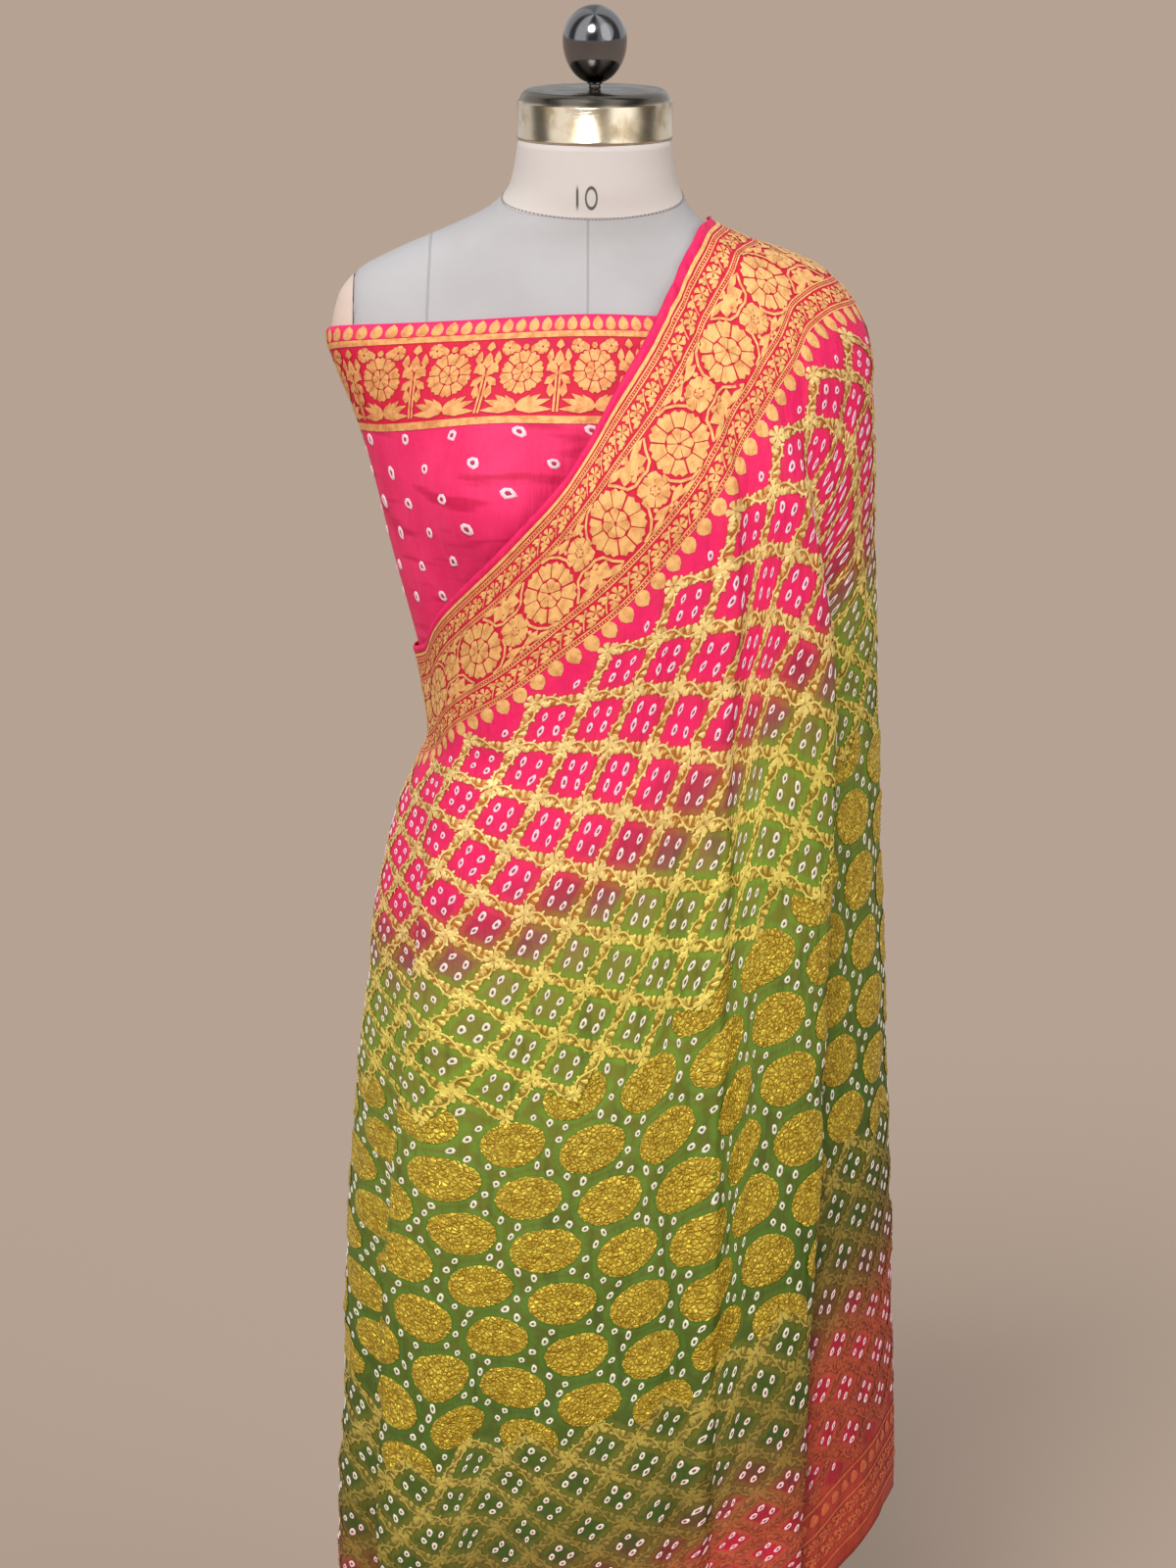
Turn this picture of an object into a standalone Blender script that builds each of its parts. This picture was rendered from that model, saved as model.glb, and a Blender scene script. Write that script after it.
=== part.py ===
"""A tie-dyed brocade sari draped on a dress form, in metres, +Z up.

The origin is the centre of the base plate's underside. +X is the side of the shoulder that the
sari goes over, and the front of the form faces -Y. Angles go round the Z axis in degrees: 0 is
+X, 90 the back, 180 the bare shoulder's side, 270 the front and 360 the draped shoulder again.
"""

import math
from collections import namedtuple

import bmesh
import bpy
import numpy as np

# ---- stand ----
BASE_RADIUS = 0.165
BASE_THICKNESS = 0.012
BASE_BEVEL = 0.004
POLE_RADIUS = 0.016
COLLAR_RADIUS = 0.030
COLLAR_HEIGHT = 0.030
TOUCH_GAP = 0.0003  # left between pieces that rest on each other
ROUND_STEPS = 32

# ---- dress form ----
FORM_BOTTOM = 0.600
NECK_TOP = 1.289
FORM_STEPS = 54  # facets round the torso
FORM_LEVELS = 30
BODY_SQUARENESS = 2.3  # 2 is an ellipse
ARMHOLE_X = 0.1775  # the plane where an arm plate meets the torso
BUST_ANGLES = (236.0, 304.0)
BUST_HEIGHT = 1.030
BUST_SWELL = 0.030
BUST_SPREAD_DEG = 21.0
BUST_SPREAD_Z = 0.052
CAP_RADIUS = 0.0576
CAP_BAND = 0.028
CAP_BEVEL_HEIGHT = 0.0078
CAP_TOP_RADIUS = 0.0500
STEM_RADIUS = 0.0045
STEM_HEIGHT = 0.0035
KNOB_RADIUS = 0.0238
KNOB_HEIGHT = 0.0580
KNOB_WAIST = 0.45  # the knob is widest this far below its top, as a share of its height

Edge = namedtuple("Edge", "side front back")

# ---- cloth ----
CLOTH_THICKNESS = 0.0015
BLOUSE_CLEARANCE = 0.0033  # from the form to the middle of the blouse cloth
SARI_CLEARANCE = 0.0060  # from the form to the middle of the sari, over the blouse cloth
SHOULDER_CLEARANCE = 0.0027  # the same on the bare shoulder, which carries the sari
SHOULDER_FROM, SHOULDER_FULL = 1.168, 1.198
EASE = 0.003  # how softly the sari leaves the form
BLOUSE_TOP = Edge(side=1.141, front=1.169, back=1.115)
BLOUSE_BOTTOM = 0.880
SARI_ROWS = 24
ROW_CROWDING = 1.3  # above 1, the rows are closer together near the upper edge
PROFILE_SAMPLES = 160

# Half-widths of the bare form to its left and right, and its depth to the front and the back.
Section = namedtuple("Section", "z left right front back")
BODY = [
    Section(0.600, 0.140, 0.140, 0.088, 0.100),
    Section(0.640, 0.152, 0.152, 0.095, 0.112),
    Section(0.690, 0.152, 0.152, 0.096, 0.112),
    Section(0.745, 0.140, 0.140, 0.093, 0.102),
    Section(0.795, 0.121, 0.121, 0.088, 0.087),
    Section(0.835, 0.112, 0.112, 0.084, 0.078),
    Section(0.880, 0.120, 0.119, 0.087, 0.080),
    Section(0.925, 0.131, 0.129, 0.092, 0.086),
    Section(0.985, 0.147, 0.144, 0.098, 0.096),
    Section(1.035, 0.159, 0.156, 0.098, 0.102),
    Section(1.085, 0.173, 0.169, 0.095, 0.105),
    Section(1.120, 0.187, 0.183, 0.087, 0.103),
    Section(1.145, 0.195, 0.191, 0.080, 0.097),
    Section(1.172, 0.190, 0.180, 0.071, 0.085),
    Section(1.191, 0.176, 0.159, 0.064, 0.074),
    Section(1.2075, 0.146, 0.118, 0.058, 0.065),
    Section(1.2245, 0.106, 0.083, 0.055, 0.060),
    Section(1.2400, 0.076, 0.069, 0.055, 0.058),
    Section(1.2560, 0.0625, 0.0615, 0.0565, 0.0575),
    Section(1.2890, 0.0562, 0.0562, 0.0562, 0.0562),
]

# The outline that the sari hangs in, below and between the places where it lies on the form.
DRAPE = [
    Section(0.040, 0.2000, 0.2220, 0.150, 0.166),
    Section(0.260, 0.1960, 0.2210, 0.146, 0.158),
    Section(0.355, 0.1910, 0.2195, 0.144, 0.154),
    Section(0.459, 0.1880, 0.2175, 0.142, 0.149),
    Section(0.537, 0.1825, 0.2160, 0.140, 0.145),
    Section(0.652, 0.1700, 0.2135, 0.137, 0.138),
    Section(0.728, 0.1600, 0.2120, 0.135, 0.132),
    Section(0.792, 0.1440, 0.2100, 0.132, 0.122),
    Section(0.822, 0.1316, 0.2090, 0.131, 0.116),
    Section(0.845, 0.1220, 0.2085, 0.130, 0.112),
    Section(0.900, 0.1260, 0.2075, 0.131, 0.110),
    Section(0.953, 0.1380, 0.2065, 0.134, 0.110),
    Section(1.023, 0.1600, 0.2050, 0.134, 0.114),
    Section(1.1125, 0.188, 0.2035, 0.108, 0.114),
    Section(1.135, 0.198, 0.2015, 0.098, 0.108),
    Section(1.159, 0.190, 0.1935, 0.085, 0.098),
    Section(1.178, 0.178, 0.1795, 0.074, 0.088),
    Section(1.192, 0.163, 0.1655, 0.067, 0.080),
    Section(1.204, 0.137, 0.1385, 0.060, 0.071),
    Section(1.212, 0.113, 0.1145, 0.057, 0.065),
    Section(1.2265, 0.083, 0.0830, 0.053, 0.060),
]

# The sari runs from its inner end at the back, round the bare side and the front, over the
# shoulder and round the back again to its outer end, which laps over the inner one.
Rim = namedtuple("Rim", "angle edge hem")
RIM = [  # height of the upper, bordered edge and of the hem
    Rim(98, 0.902, 0.048),
    Rim(140, 0.906, 0.044),
    Rim(180, 0.911, 0.042),
    Rim(201, 0.920, 0.042),
    Rim(211, 0.938, 0.042),
    Rim(228, 0.972, 0.044),
    Rim(238, 0.995, 0.046),
    Rim(250, 1.027, 0.050),
    Rim(260, 1.055, 0.056),
    Rim(268, 1.083, 0.062),
    Rim(279, 1.120, 0.072),
    Rim(293, 1.153, 0.092),
    Rim(311, 1.191, 0.142),
    Rim(323, 1.212, 0.165),
    Rim(337, 1.2255, 0.176),
    Rim(350, 1.2300, 0.212),
    Rim(362, 1.2310, 0.245),
    Rim(378, 1.2240, 0.252),
    Rim(398, 1.2000, 0.235),
    Rim(420, 1.155, 0.190),
    Rim(442, 1.095, 0.125),
    Rim(462, 1.035, 0.075),
    Rim(484, 0.985, 0.055),
]

# A lap is a fold deep enough for one layer to lie behind another. Its edge moves from edge_high
# to edge_low on the way down, it opens from start to full height, and the layers part by depth.
Lap = namedtuple("Lap", "middle half_span overlap depth start full drift behind_first blend")
LAPS = [
    Lap(329, 9, 17, 0.026, 1.12, 0.84, -19, False, 26),
    Lap(213, 8, 13, 0.018, 0.86, 0.36, 3, True, 30),
]
DRIFT_SPREAD = 34.0  # how far round a lap's sideways drift reaches, in degrees
DRIFT_TOP = 0.95

# Pleats that only ripple the cloth: ridges where height is positive, and valleys.
Pleat = namedtuple("Pleat", "angle width height_top height_hem start lean")
PLEATS = [
    Pleat(322, 4.4, 0.0035, 0.0050, 1.17, -1),
    Pleat(315, 3.8, -0.0035, -0.0050, 1.14, -1),
    Pleat(308, 4.2, 0.0030, 0.0045, 1.08, -1),
    Pleat(299, 5.5, -0.0010, -0.0040, 0.98, -1),
    Pleat(287, 8.0, 0.0, 0.0035, 0.80, -2),
    Pleat(270, 9.0, 0.0, -0.0040, 0.72, -1),
    Pleat(252, 9.0, 0.0, 0.0040, 0.70, 1),
    Pleat(234, 8.0, 0.0, -0.0030, 0.66, 2),
    Pleat(198, 4.0, 0.0, -0.0045, 0.62, 0),
    Pleat(190, 4.5, 0.0, 0.0050, 0.62, 0),
    Pleat(172, 6.5, 0.0, -0.0070, 0.74, 0),
    Pleat(152, 7.5, 0.0, 0.0090, 0.74, 0),
    Pleat(130, 8.0, 0.0, -0.0080, 0.74, 0),
    Pleat(345, 5.0, 0.0030, 0.0050, 1.10, -1),
    Pleat(368, 5.0, 0.0040, 0.0090, 1.16, 0),
    Pleat(382, 6.0, -0.0050, -0.0120, 1.14, 1),
    Pleat(397, 6.0, 0.0050, 0.0120, 1.12, 2),
    Pleat(413, 6.0, -0.0040, -0.0120, 1.06, 3),
    Pleat(429, 6.5, 0.0040, 0.0110, 1.00, 4),
    Pleat(447, 7.0, -0.0030, -0.0100, 0.94, 4),
    Pleat(465, 7.0, 0.0030, 0.0090, 0.90, 3),
]
END_LAP_FROM = 440.0  # where the outer end starts to lift clear of the inner one
END_LAP_FULL = 456.0
END_LAP_LIFT = 0.0075

# How many facets there are from one angle to the next: more where the cloth folds back.
Stretch = namedtuple("Stretch", "start end facets")
STRETCHES = [
    Stretch(98, 184, 12),
    Stretch(184, 224, 18),
    Stretch(224, 296, 12),
    Stretch(296, 342, 22),
    Stretch(342, 484, 28),
]


def smooth_table(at, knots, values):
    """Smooth values between the knots, with no overshoot past them."""
    knots = np.asarray(knots, float)
    values = np.asarray(values, float)
    gaps = np.diff(knots)
    slopes = np.diff(values) / gaps
    tangents = np.zeros(len(knots))
    rising = slopes[:-1] * slopes[1:] > 0
    harmonic = 2 * slopes[:-1] * slopes[1:] / np.where(rising, slopes[:-1] + slopes[1:], 1)
    tangents[1:-1] = np.where(rising, harmonic, 0.0)
    tangents[0] = slopes[0]
    tangents[-1] = slopes[-1]
    at = np.clip(np.asarray(at, float), knots[0], knots[-1])
    i = np.clip(np.searchsorted(knots, at) - 1, 0, len(gaps) - 1)
    t = (at - knots[i]) / gaps[i]
    return (
        values[i] * (1 + 2 * t) * (1 - t) ** 2
        + tangents[i] * gaps[i] * t * (1 - t) ** 2
        + values[i + 1] * t * t * (3 - 2 * t)
        + tangents[i + 1] * gaps[i] * t * t * (t - 1)
    )


def column(table, name):
    return [getattr(row, name) for row in table]


def ramp(value, start, end):
    """0 at start and 1 at end, easing in and out."""
    t = np.clip((value - start) / (end - start), 0.0, 1.0)
    return t * t * (3 - 2 * t)


def section_radius(table, angle, z):
    """Distance from the axis to a section's outline, which is a rounded oval."""
    heights = column(table, "z")
    sides = {name: smooth_table(z, heights, column(table, name)) for name in table[0]._fields[1:]}
    across = np.cos(np.radians(angle))
    along = np.sin(np.radians(angle))
    wide = np.where(across > 0, sides["right"], sides["left"])
    deep = np.where(along > 0, sides["back"], sides["front"])
    power = BODY_SQUARENESS
    return ((np.abs(across) / wide) ** power + (np.abs(along) / deep) ** power) ** (-1 / power)


def body_radius(angle, z):
    swell = 0.0
    for middle in BUST_ANGLES:
        away = (np.mod(angle, 360) - middle) / BUST_SPREAD_DEG
        swell = swell + np.exp(-(away**2) - ((z - BUST_HEIGHT) / BUST_SPREAD_Z) ** 2)
    return section_radius(BODY, angle, z) + BUST_SWELL * swell


def point(angle, radius, z):
    turn = np.radians(angle)
    return np.stack([radius * np.cos(turn), radius * np.sin(turn), z], axis=-1)


def pleat_height(base, z):
    """How far the pleats lift or sink the cloth at this base angle and height."""
    height = 0.0
    for pleat in PLEATS:
        down = 1 - ramp(z, 0.05, pleat.start)
        middle = pleat.angle + pleat.lean * down
        size = pleat.height_top + (pleat.height_hem - pleat.height_top) * down
        begun = 1 - ramp(z, pleat.start - 0.12, pleat.start)
        height = height + size * begun * np.exp(-(((base - middle) / pleat.width) ** 2))
    return height


def sari_point(base, z):
    """The sari's middle surface. base runs along the cloth, and the laps fold it back on itself."""
    angle = base
    sink = 0.0
    for lap in LAPS:
        opened = 1 - ramp(z, lap.full, lap.start)
        along = (base - lap.middle) / lap.half_span
        swing = (lap.overlap + 0.8 * lap.half_span) / 1.9
        angle = angle - opened * swing * np.sin(np.pi * np.clip(along, -1, 1))
        fallen = np.clip((DRIFT_TOP - z) / DRIFT_TOP, 0, 1)
        angle = angle + lap.drift * fallen * np.exp(-(((base - lap.middle) / DRIFT_SPREAD) ** 2))
        behind = ramp(along, -0.75, 0.75)
        recovery = ramp(base, lap.middle + lap.half_span, lap.middle + lap.half_span + lap.blend)
        if lap.behind_first:
            start = lap.middle - lap.half_span - lap.blend
            behind = 1 - behind
            recovery = 1 - ramp(base, start, start + lap.blend)
        sink = sink + lap.depth * np.sqrt(opened) * behind * (1 - recovery)
    hanging = section_radius(DRAPE, angle, z) + pleat_height(base, z) - sink
    bare = ramp(z, SHOULDER_FROM, SHOULDER_FULL)
    resting = body_radius(angle, z) + SARI_CLEARANCE + (SHOULDER_CLEARANCE - SARI_CLEARANCE) * bare
    radius = (hanging + resting + np.sqrt((hanging - resting) ** 2 + EASE**2)) / 2
    radius = radius + END_LAP_LIFT * ramp(base, END_LAP_FROM, END_LAP_FULL)
    return point(angle, radius, z)


def spaced_rows(profile, rows):
    """A curve's points again, spaced smoothly along it from its upper end."""
    steps = np.linalg.norm(np.diff(profile, axis=0), axis=1)
    along = np.concatenate([[0], np.cumsum(steps)])
    at = along[-1] * np.linspace(0, 1, rows) ** ROW_CROWDING
    return np.stack([np.interp(at, along, profile[:, k]) for k in range(3)], axis=1)


def sari_grid():
    """Rows of points from the upper edge to the hem, for each base angle along the cloth."""
    bases = np.concatenate(
        [np.linspace(s.start, s.end, s.facets, endpoint=False) for s in STRETCHES]
        + [[STRETCHES[-1].end]]
    )
    edges = smooth_table(bases, column(RIM, "angle"), column(RIM, "edge"))
    hems = smooth_table(bases, column(RIM, "angle"), column(RIM, "hem"))
    columns = []
    for base, edge, hem in zip(bases, edges, hems):
        z = np.linspace(edge, hem, PROFILE_SAMPLES)
        columns.append(spaced_rows(sari_point(np.full_like(z, base), z), SARI_ROWS))
    return np.array(columns)


def blouse_grid():
    """Rows of points round the form, level with the form's own rows so that it lies close."""
    levels = form_levels()[::-1]
    below = levels[(levels < BLOUSE_TOP.front) & (levels > BLOUSE_BOTTOM)]
    crowded = 0.004 * np.arange(1, len(below) + 1)
    columns = []
    for angle in np.linspace(0, 360, FORM_STEPS, endpoint=False):
        front = -math.sin(math.radians(angle))
        end = BLOUSE_TOP.front if front > 0 else BLOUSE_TOP.back
        top = BLOUSE_TOP.side + (end - BLOUSE_TOP.side) * abs(front) ** 0.4
        z = np.concatenate([[top], np.minimum(below, top - crowded)])
        radius = body_radius(np.full_like(z, angle), z) + BLOUSE_CLEARANCE
        columns.append(point(np.full_like(z, angle), radius, z))
    return np.array(columns)


def material(name, colour, roughness, metallic=0.0):
    made = bpy.data.materials.new(name)
    made.use_nodes = True
    shader = made.node_tree.nodes["Principled BSDF"]
    shader.inputs["Base Color"].default_value = (*colour, 1.0)
    shader.inputs["Roughness"].default_value = roughness
    shader.inputs["Metallic"].default_value = metallic
    return made


def add_object(name, mesh_source, finish):
    """Links a bmesh as a named object and frees the bmesh."""
    bmesh.ops.recalc_face_normals(mesh_source, faces=mesh_source.faces[:])
    mesh = bpy.data.meshes.new(name)
    mesh_source.to_mesh(mesh)
    mesh_source.free()
    mesh.materials.append(finish)
    mesh.shade_smooth()
    mesh.set_sharp_from_angle(angle=math.radians(50))
    made = bpy.data.objects.new(name, mesh)
    bpy.context.scene.collection.objects.link(made)
    return made


def form_levels():
    """Heights of the form's rows, evenly spaced along its side."""
    heights = np.linspace(FORM_BOTTOM, NECK_TOP, FORM_LEVELS * 4)
    profile = np.stack([heights, body_radius(180.0, heights)], axis=1)
    along = np.concatenate([[0], np.cumsum(np.linalg.norm(np.diff(profile, axis=0), axis=1))])
    return np.interp(np.linspace(0, along[-1], FORM_LEVELS), along, heights)


def sheet_mesh(grid, closed):
    """A bmesh with a quad between each pair of neighbouring columns and rows."""
    mesh = bmesh.new()
    verts = [[mesh.verts.new(p) for p in column_points] for column_points in grid]
    last = len(verts) if closed else len(verts) - 1
    for i in range(last):
        a = verts[i]
        b = verts[(i + 1) % len(verts)]
        for j in range(len(a) - 1):
            mesh.faces.new((a[j], a[j + 1], b[j + 1], b[j]))
    return mesh


def cloth(name, grid, finish, closed):
    made = add_object(name, sheet_mesh(grid, closed), finish)
    thick = made.modifiers.new("thickness", "SOLIDIFY")
    thick.thickness = CLOTH_THICKNESS
    thick.offset = 0.0
    thick.use_even_offset = True
    return made


def turned(name, profile, finish, steps=ROUND_STEPS):
    """A round piece turned about the axis from (radius, height) points, which start and end on it."""
    mesh = bmesh.new()
    verts = [mesh.verts.new((radius, 0, z)) for radius, z in profile]
    edges = [mesh.edges.new(pair) for pair in zip(verts, verts[1:])]
    bmesh.ops.spin(
        mesh,
        geom=verts + edges,
        cent=(0, 0, 0),
        axis=(0, 0, 1),
        angle=math.tau,
        steps=steps,
        use_merge=True,
    )
    bmesh.ops.remove_doubles(mesh, verts=mesh.verts, dist=0.00005)
    return add_object(name, mesh, finish)


def form_mesh():
    """The whole form from its bottom to the neck's top, arm plates included."""
    levels = form_levels()
    angles = np.linspace(0, 360, FORM_STEPS, endpoint=False)
    grid = np.array(
        [point(np.full_like(levels, a), body_radius(np.full_like(levels, a), levels), levels) for a in angles]
    )
    mesh = sheet_mesh(grid, closed=True)
    mesh.verts.ensure_lookup_table()
    for row in (0, FORM_LEVELS - 1):
        ring = [mesh.verts[i * FORM_LEVELS + row] for i in range(FORM_STEPS)]
        mesh.faces.new(ring)
    bmesh.ops.recalc_face_normals(mesh, faces=mesh.faces[:])
    return mesh


def keep_between(mesh, low_x, high_x):
    """Cuts the mesh down to the slice between two planes across X, and closes the cuts."""
    for x, outward in ((low_x, -1), (high_x, 1)):
        cut = bmesh.ops.bisect_plane(
            mesh,
            geom=mesh.verts[:] + mesh.edges[:] + mesh.faces[:],
            plane_co=(x, 0, 0),
            plane_no=(outward, 0, 0),
            clear_outer=True,
        )
        rim = [e for e in cut["geom_cut"] if isinstance(e, bmesh.types.BMEdge)]
        if rim:
            bmesh.ops.holes_fill(mesh, edges=rim)
    return mesh


def make_form(linen, canvas):
    edge = ARMHOLE_X
    seam = TOUCH_GAP / 2
    add_object("torso", keep_between(form_mesh(), -edge + seam, edge - seam), linen)
    add_object("arm_plate_bare", keep_between(form_mesh(), -1.0, -edge - seam), canvas)
    add_object("arm_plate_draped", keep_between(form_mesh(), edge + seam, 1.0), canvas)


def make_cap_and_knob(steel, chrome):
    bottom = NECK_TOP + TOUCH_GAP
    band_top = bottom + CAP_BAND
    top = band_top + CAP_BEVEL_HEIGHT
    cap = [
        (0, bottom),
        (CAP_RADIUS, bottom),
        (CAP_RADIUS, band_top),
        (CAP_TOP_RADIUS + 0.003, top - 0.0025),
        (CAP_TOP_RADIUS, top),
        (0, top),
    ]
    turned("neck_cap", cap, steel, steps=40)
    foot = top + TOUCH_GAP
    stem = [(0, foot), (STEM_RADIUS, foot), (STEM_RADIUS, foot + STEM_HEIGHT), (0, foot + STEM_HEIGHT)]
    turned("knob_stem", stem, steel, steps=20)
    low = foot + STEM_HEIGHT + TOUCH_GAP
    widest = low + KNOB_HEIGHT * (1 - KNOB_WAIST)
    above = KNOB_HEIGHT * KNOB_WAIST
    below = KNOB_HEIGHT * (1 - KNOB_WAIST)
    flat = 0.0060  # the knob's small seat on its stem
    profile = [(0, low), (flat, low)]
    for degrees in range(-72, 91, 12):
        turn = math.radians(degrees)
        reach = above if degrees > 0 else below
        radius = KNOB_RADIUS * math.cos(turn)
        profile.append((radius, widest + reach * math.sin(turn)))
    profile.append((0, low + KNOB_HEIGHT))
    turned("knob", profile, chrome, steps=28)


def make_stand(paint, chrome):
    plate_top = BASE_THICKNESS
    plate = [
        (0, 0),
        (BASE_RADIUS - BASE_BEVEL / 2, 0),
        (BASE_RADIUS, BASE_BEVEL / 2),
        (BASE_RADIUS, plate_top - BASE_BEVEL),
        (BASE_RADIUS - BASE_BEVEL, plate_top),
        (0, plate_top),
    ]
    turned("base_plate", plate, paint, steps=40)
    foot = plate_top + TOUCH_GAP
    head = FORM_BOTTOM - TOUCH_GAP
    pole = [
        (0, foot),
        (COLLAR_RADIUS, foot),
        (COLLAR_RADIUS, foot + COLLAR_HEIGHT * 0.6),
        (POLE_RADIUS, foot + COLLAR_HEIGHT),
        (POLE_RADIUS, head - COLLAR_HEIGHT),
        (COLLAR_RADIUS, head - COLLAR_HEIGHT * 0.6),
        (COLLAR_RADIUS, head),
        (0, head),
    ]
    turned("pole", pole, chrome)


def main():
    for old in list(bpy.data.objects):
        bpy.data.objects.remove(old)
    linen = material("linen_cover", (0.72, 0.71, 0.72), 0.85)
    canvas = material("arm_plate_canvas", (0.76, 0.68, 0.65), 0.85)
    steel = material("worn_steel", (0.52, 0.50, 0.47), 0.32, 1.0)
    chrome = material("chrome", (0.62, 0.63, 0.65), 0.12, 1.0)
    paint = material("base_paint", (0.06, 0.06, 0.065), 0.5)
    blouse_cloth = material("pink_brocade", (0.75, 0.06, 0.20), 0.7)
    sari_cloth = material("dyed_brocade", (0.36, 0.36, 0.10), 0.6)
    make_stand(paint, chrome)
    make_form(linen, canvas)
    make_cap_and_knob(steel, chrome)
    cloth("blouse_cloth", blouse_grid(), blouse_cloth, closed=True)
    cloth("sari", sari_grid(), sari_cloth, closed=False)


main()
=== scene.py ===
# %% [markdown]
# # A tie-dyed brocade sari on a dress form
#
# The imported CAD frame is loaded first, and every piece made here fits it without moving it.

# %% The frame
import math
from collections import namedtuple

import bmesh
import bpy
import numpy as np
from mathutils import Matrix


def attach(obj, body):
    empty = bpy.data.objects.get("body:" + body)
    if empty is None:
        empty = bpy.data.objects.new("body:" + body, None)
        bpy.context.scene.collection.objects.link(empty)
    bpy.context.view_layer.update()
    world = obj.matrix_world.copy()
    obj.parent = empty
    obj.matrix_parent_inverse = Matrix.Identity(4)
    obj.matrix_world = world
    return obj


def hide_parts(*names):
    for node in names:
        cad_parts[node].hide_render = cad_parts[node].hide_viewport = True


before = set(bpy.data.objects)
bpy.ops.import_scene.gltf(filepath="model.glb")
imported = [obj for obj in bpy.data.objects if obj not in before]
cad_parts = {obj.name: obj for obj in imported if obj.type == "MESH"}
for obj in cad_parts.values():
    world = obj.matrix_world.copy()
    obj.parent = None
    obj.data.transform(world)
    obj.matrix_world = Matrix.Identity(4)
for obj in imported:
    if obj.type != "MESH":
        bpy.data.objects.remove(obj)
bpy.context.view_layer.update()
print("CAD nodes:", ", ".join(sorted(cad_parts)))

# %% [markdown]
# ## Camera and studio
#
# The form was photographed from about 4.5 m away and a little above, with a long lens, so its
# sides hardly converge. The camera looks 12 degrees down and sees nothing but the floor behind
# the form. The light is plain and soft: an even sky with a few panels that only show as
# reflections in the steel, and two broad suns.

# %% Camera
CAMERA_PLACE = (-0.005, -4.5, 1.76)
CAMERA_DROP = 12.0  # degrees below the horizon
CAMERA_LENS, CAMERA_SENSOR = 140.47, 36.0  # millimetres
CAMERA_REACH = 200.0  # metres, past the floor's far edge

camera = bpy.data.objects.new("camera", bpy.data.cameras.new("camera"))
bpy.context.scene.collection.objects.link(camera)
camera.location = CAMERA_PLACE
camera.rotation_euler = (math.radians(90 - CAMERA_DROP), 0, 0)
camera.data.lens = CAMERA_LENS
camera.data.sensor_width = CAMERA_SENSOR
camera.data.clip_end = CAMERA_REACH
bpy.context.scene.camera = camera
bpy.context.scene.view_settings.view_transform = "Standard"
print("camera at", CAMERA_PLACE)

# %% [markdown]
# ## Helpers for node trees
#
# A pattern in a material is a sum of small steps. These helpers add one node, set its sockets and
# hand back the output, so that a pattern can be written like a formula.


# %% Node helpers
def colour(red, green, blue):
    """A colour from 0 to 255, as a picture shows it, in the linear values that Blender uses."""
    parts = [value / 255 for value in (red, green, blue)]
    return tuple(v / 12.92 if v <= 0.04045 else ((v + 0.055) / 1.055) ** 2.4 for v in parts) + (1.0,)


def add(tree, kind, sockets=None, **settings):
    """Adds a node. A socket is given a value, or another node's output to read."""
    node = tree.nodes.new(kind)
    for name, value in settings.items():
        setattr(node, name, value)
    for key, value in (sockets or {}).items():
        if isinstance(value, bpy.types.NodeSocket):
            tree.links.new(value, node.inputs[key])
        else:
            node.inputs[key].default_value = value
    return node


def tree_of(*values):
    """The node tree of the first output among these values."""
    return next(value.id_data for value in values if isinstance(value, bpy.types.NodeSocket))


def calc(operation, *values, clamp=False):
    """The result of one sum. clamp keeps it between 0 and 1."""
    settings = {"operation": operation, "use_clamp": clamp}
    return add(tree_of(*values), "ShaderNodeMath", dict(enumerate(values)), **settings).outputs[0]


def step(value, low, high, from_value=0.0, to_value=1.0):
    """from_value below low, to_value above high, and a smooth rise between."""
    sockets = {0: value, 1: low, 2: high, 3: from_value, 4: to_value}
    settings = {"interpolation_type": "SMOOTHSTEP"}
    return add(tree_of(value), "ShaderNodeMapRange", sockets, **settings).outputs[0]


def mix(share, first, second):
    """The first colour where share is 0, and the second where it is 1."""
    sockets = {0: share, 6: first, 7: second}
    return add(tree_of(share), "ShaderNodeMix", sockets, data_type="RGBA").outputs[2]


def noise(vector, scale, detail=2.0, roughness=0.5):
    sockets = {"Vector": vector, "Scale": scale, "Detail": detail, "Roughness": roughness}
    return add(tree_of(vector), "ShaderNodeTexNoise", sockets).outputs[0]


def wave(vector, scale, distortion):
    sockets = {"Vector": vector, "Scale": scale, "Distortion": distortion}
    return add(tree_of(vector), "ShaderNodeTexWave", sockets).outputs[1]


def bump(height, strength, distance, below=None):
    """A bumpy normal, laid on the bumps below it where there are any."""
    sockets = {"Height": height, "Strength": strength, "Distance": distance}
    if below is not None:
        sockets["Normal"] = below
    return add(tree_of(height), "ShaderNodeBump", sockets).outputs[0]


def split(vector):
    return add(tree_of(vector), "ShaderNodeSeparateXYZ", {0: vector}).outputs


print("node helpers ready")

# %% [markdown]
# Every finish here is one Principled shader. Values that are the same all over are set on its own
# sockets, and only what varies is linked. A pattern is placed either by the point on the object
# or, on cloth, by the point on the flat cloth, so that it follows the folds.


# %% Material helpers
def socket_name(key):
    """The shader's name for a socket such as base_color or specular_ior_level."""
    return key.replace("_", " ").title().replace("Ior", "IOR")


def new_material(name, **sockets):
    """A material whose shader sockets are set directly, such as roughness."""
    made = bpy.data.materials.new(name)
    made.use_nodes = True
    shader = made.node_tree.nodes["Principled BSDF"]
    for key, value in sockets.items():
        shader.inputs[socket_name(key)].default_value = value
    return made, made.node_tree, shader


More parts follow.
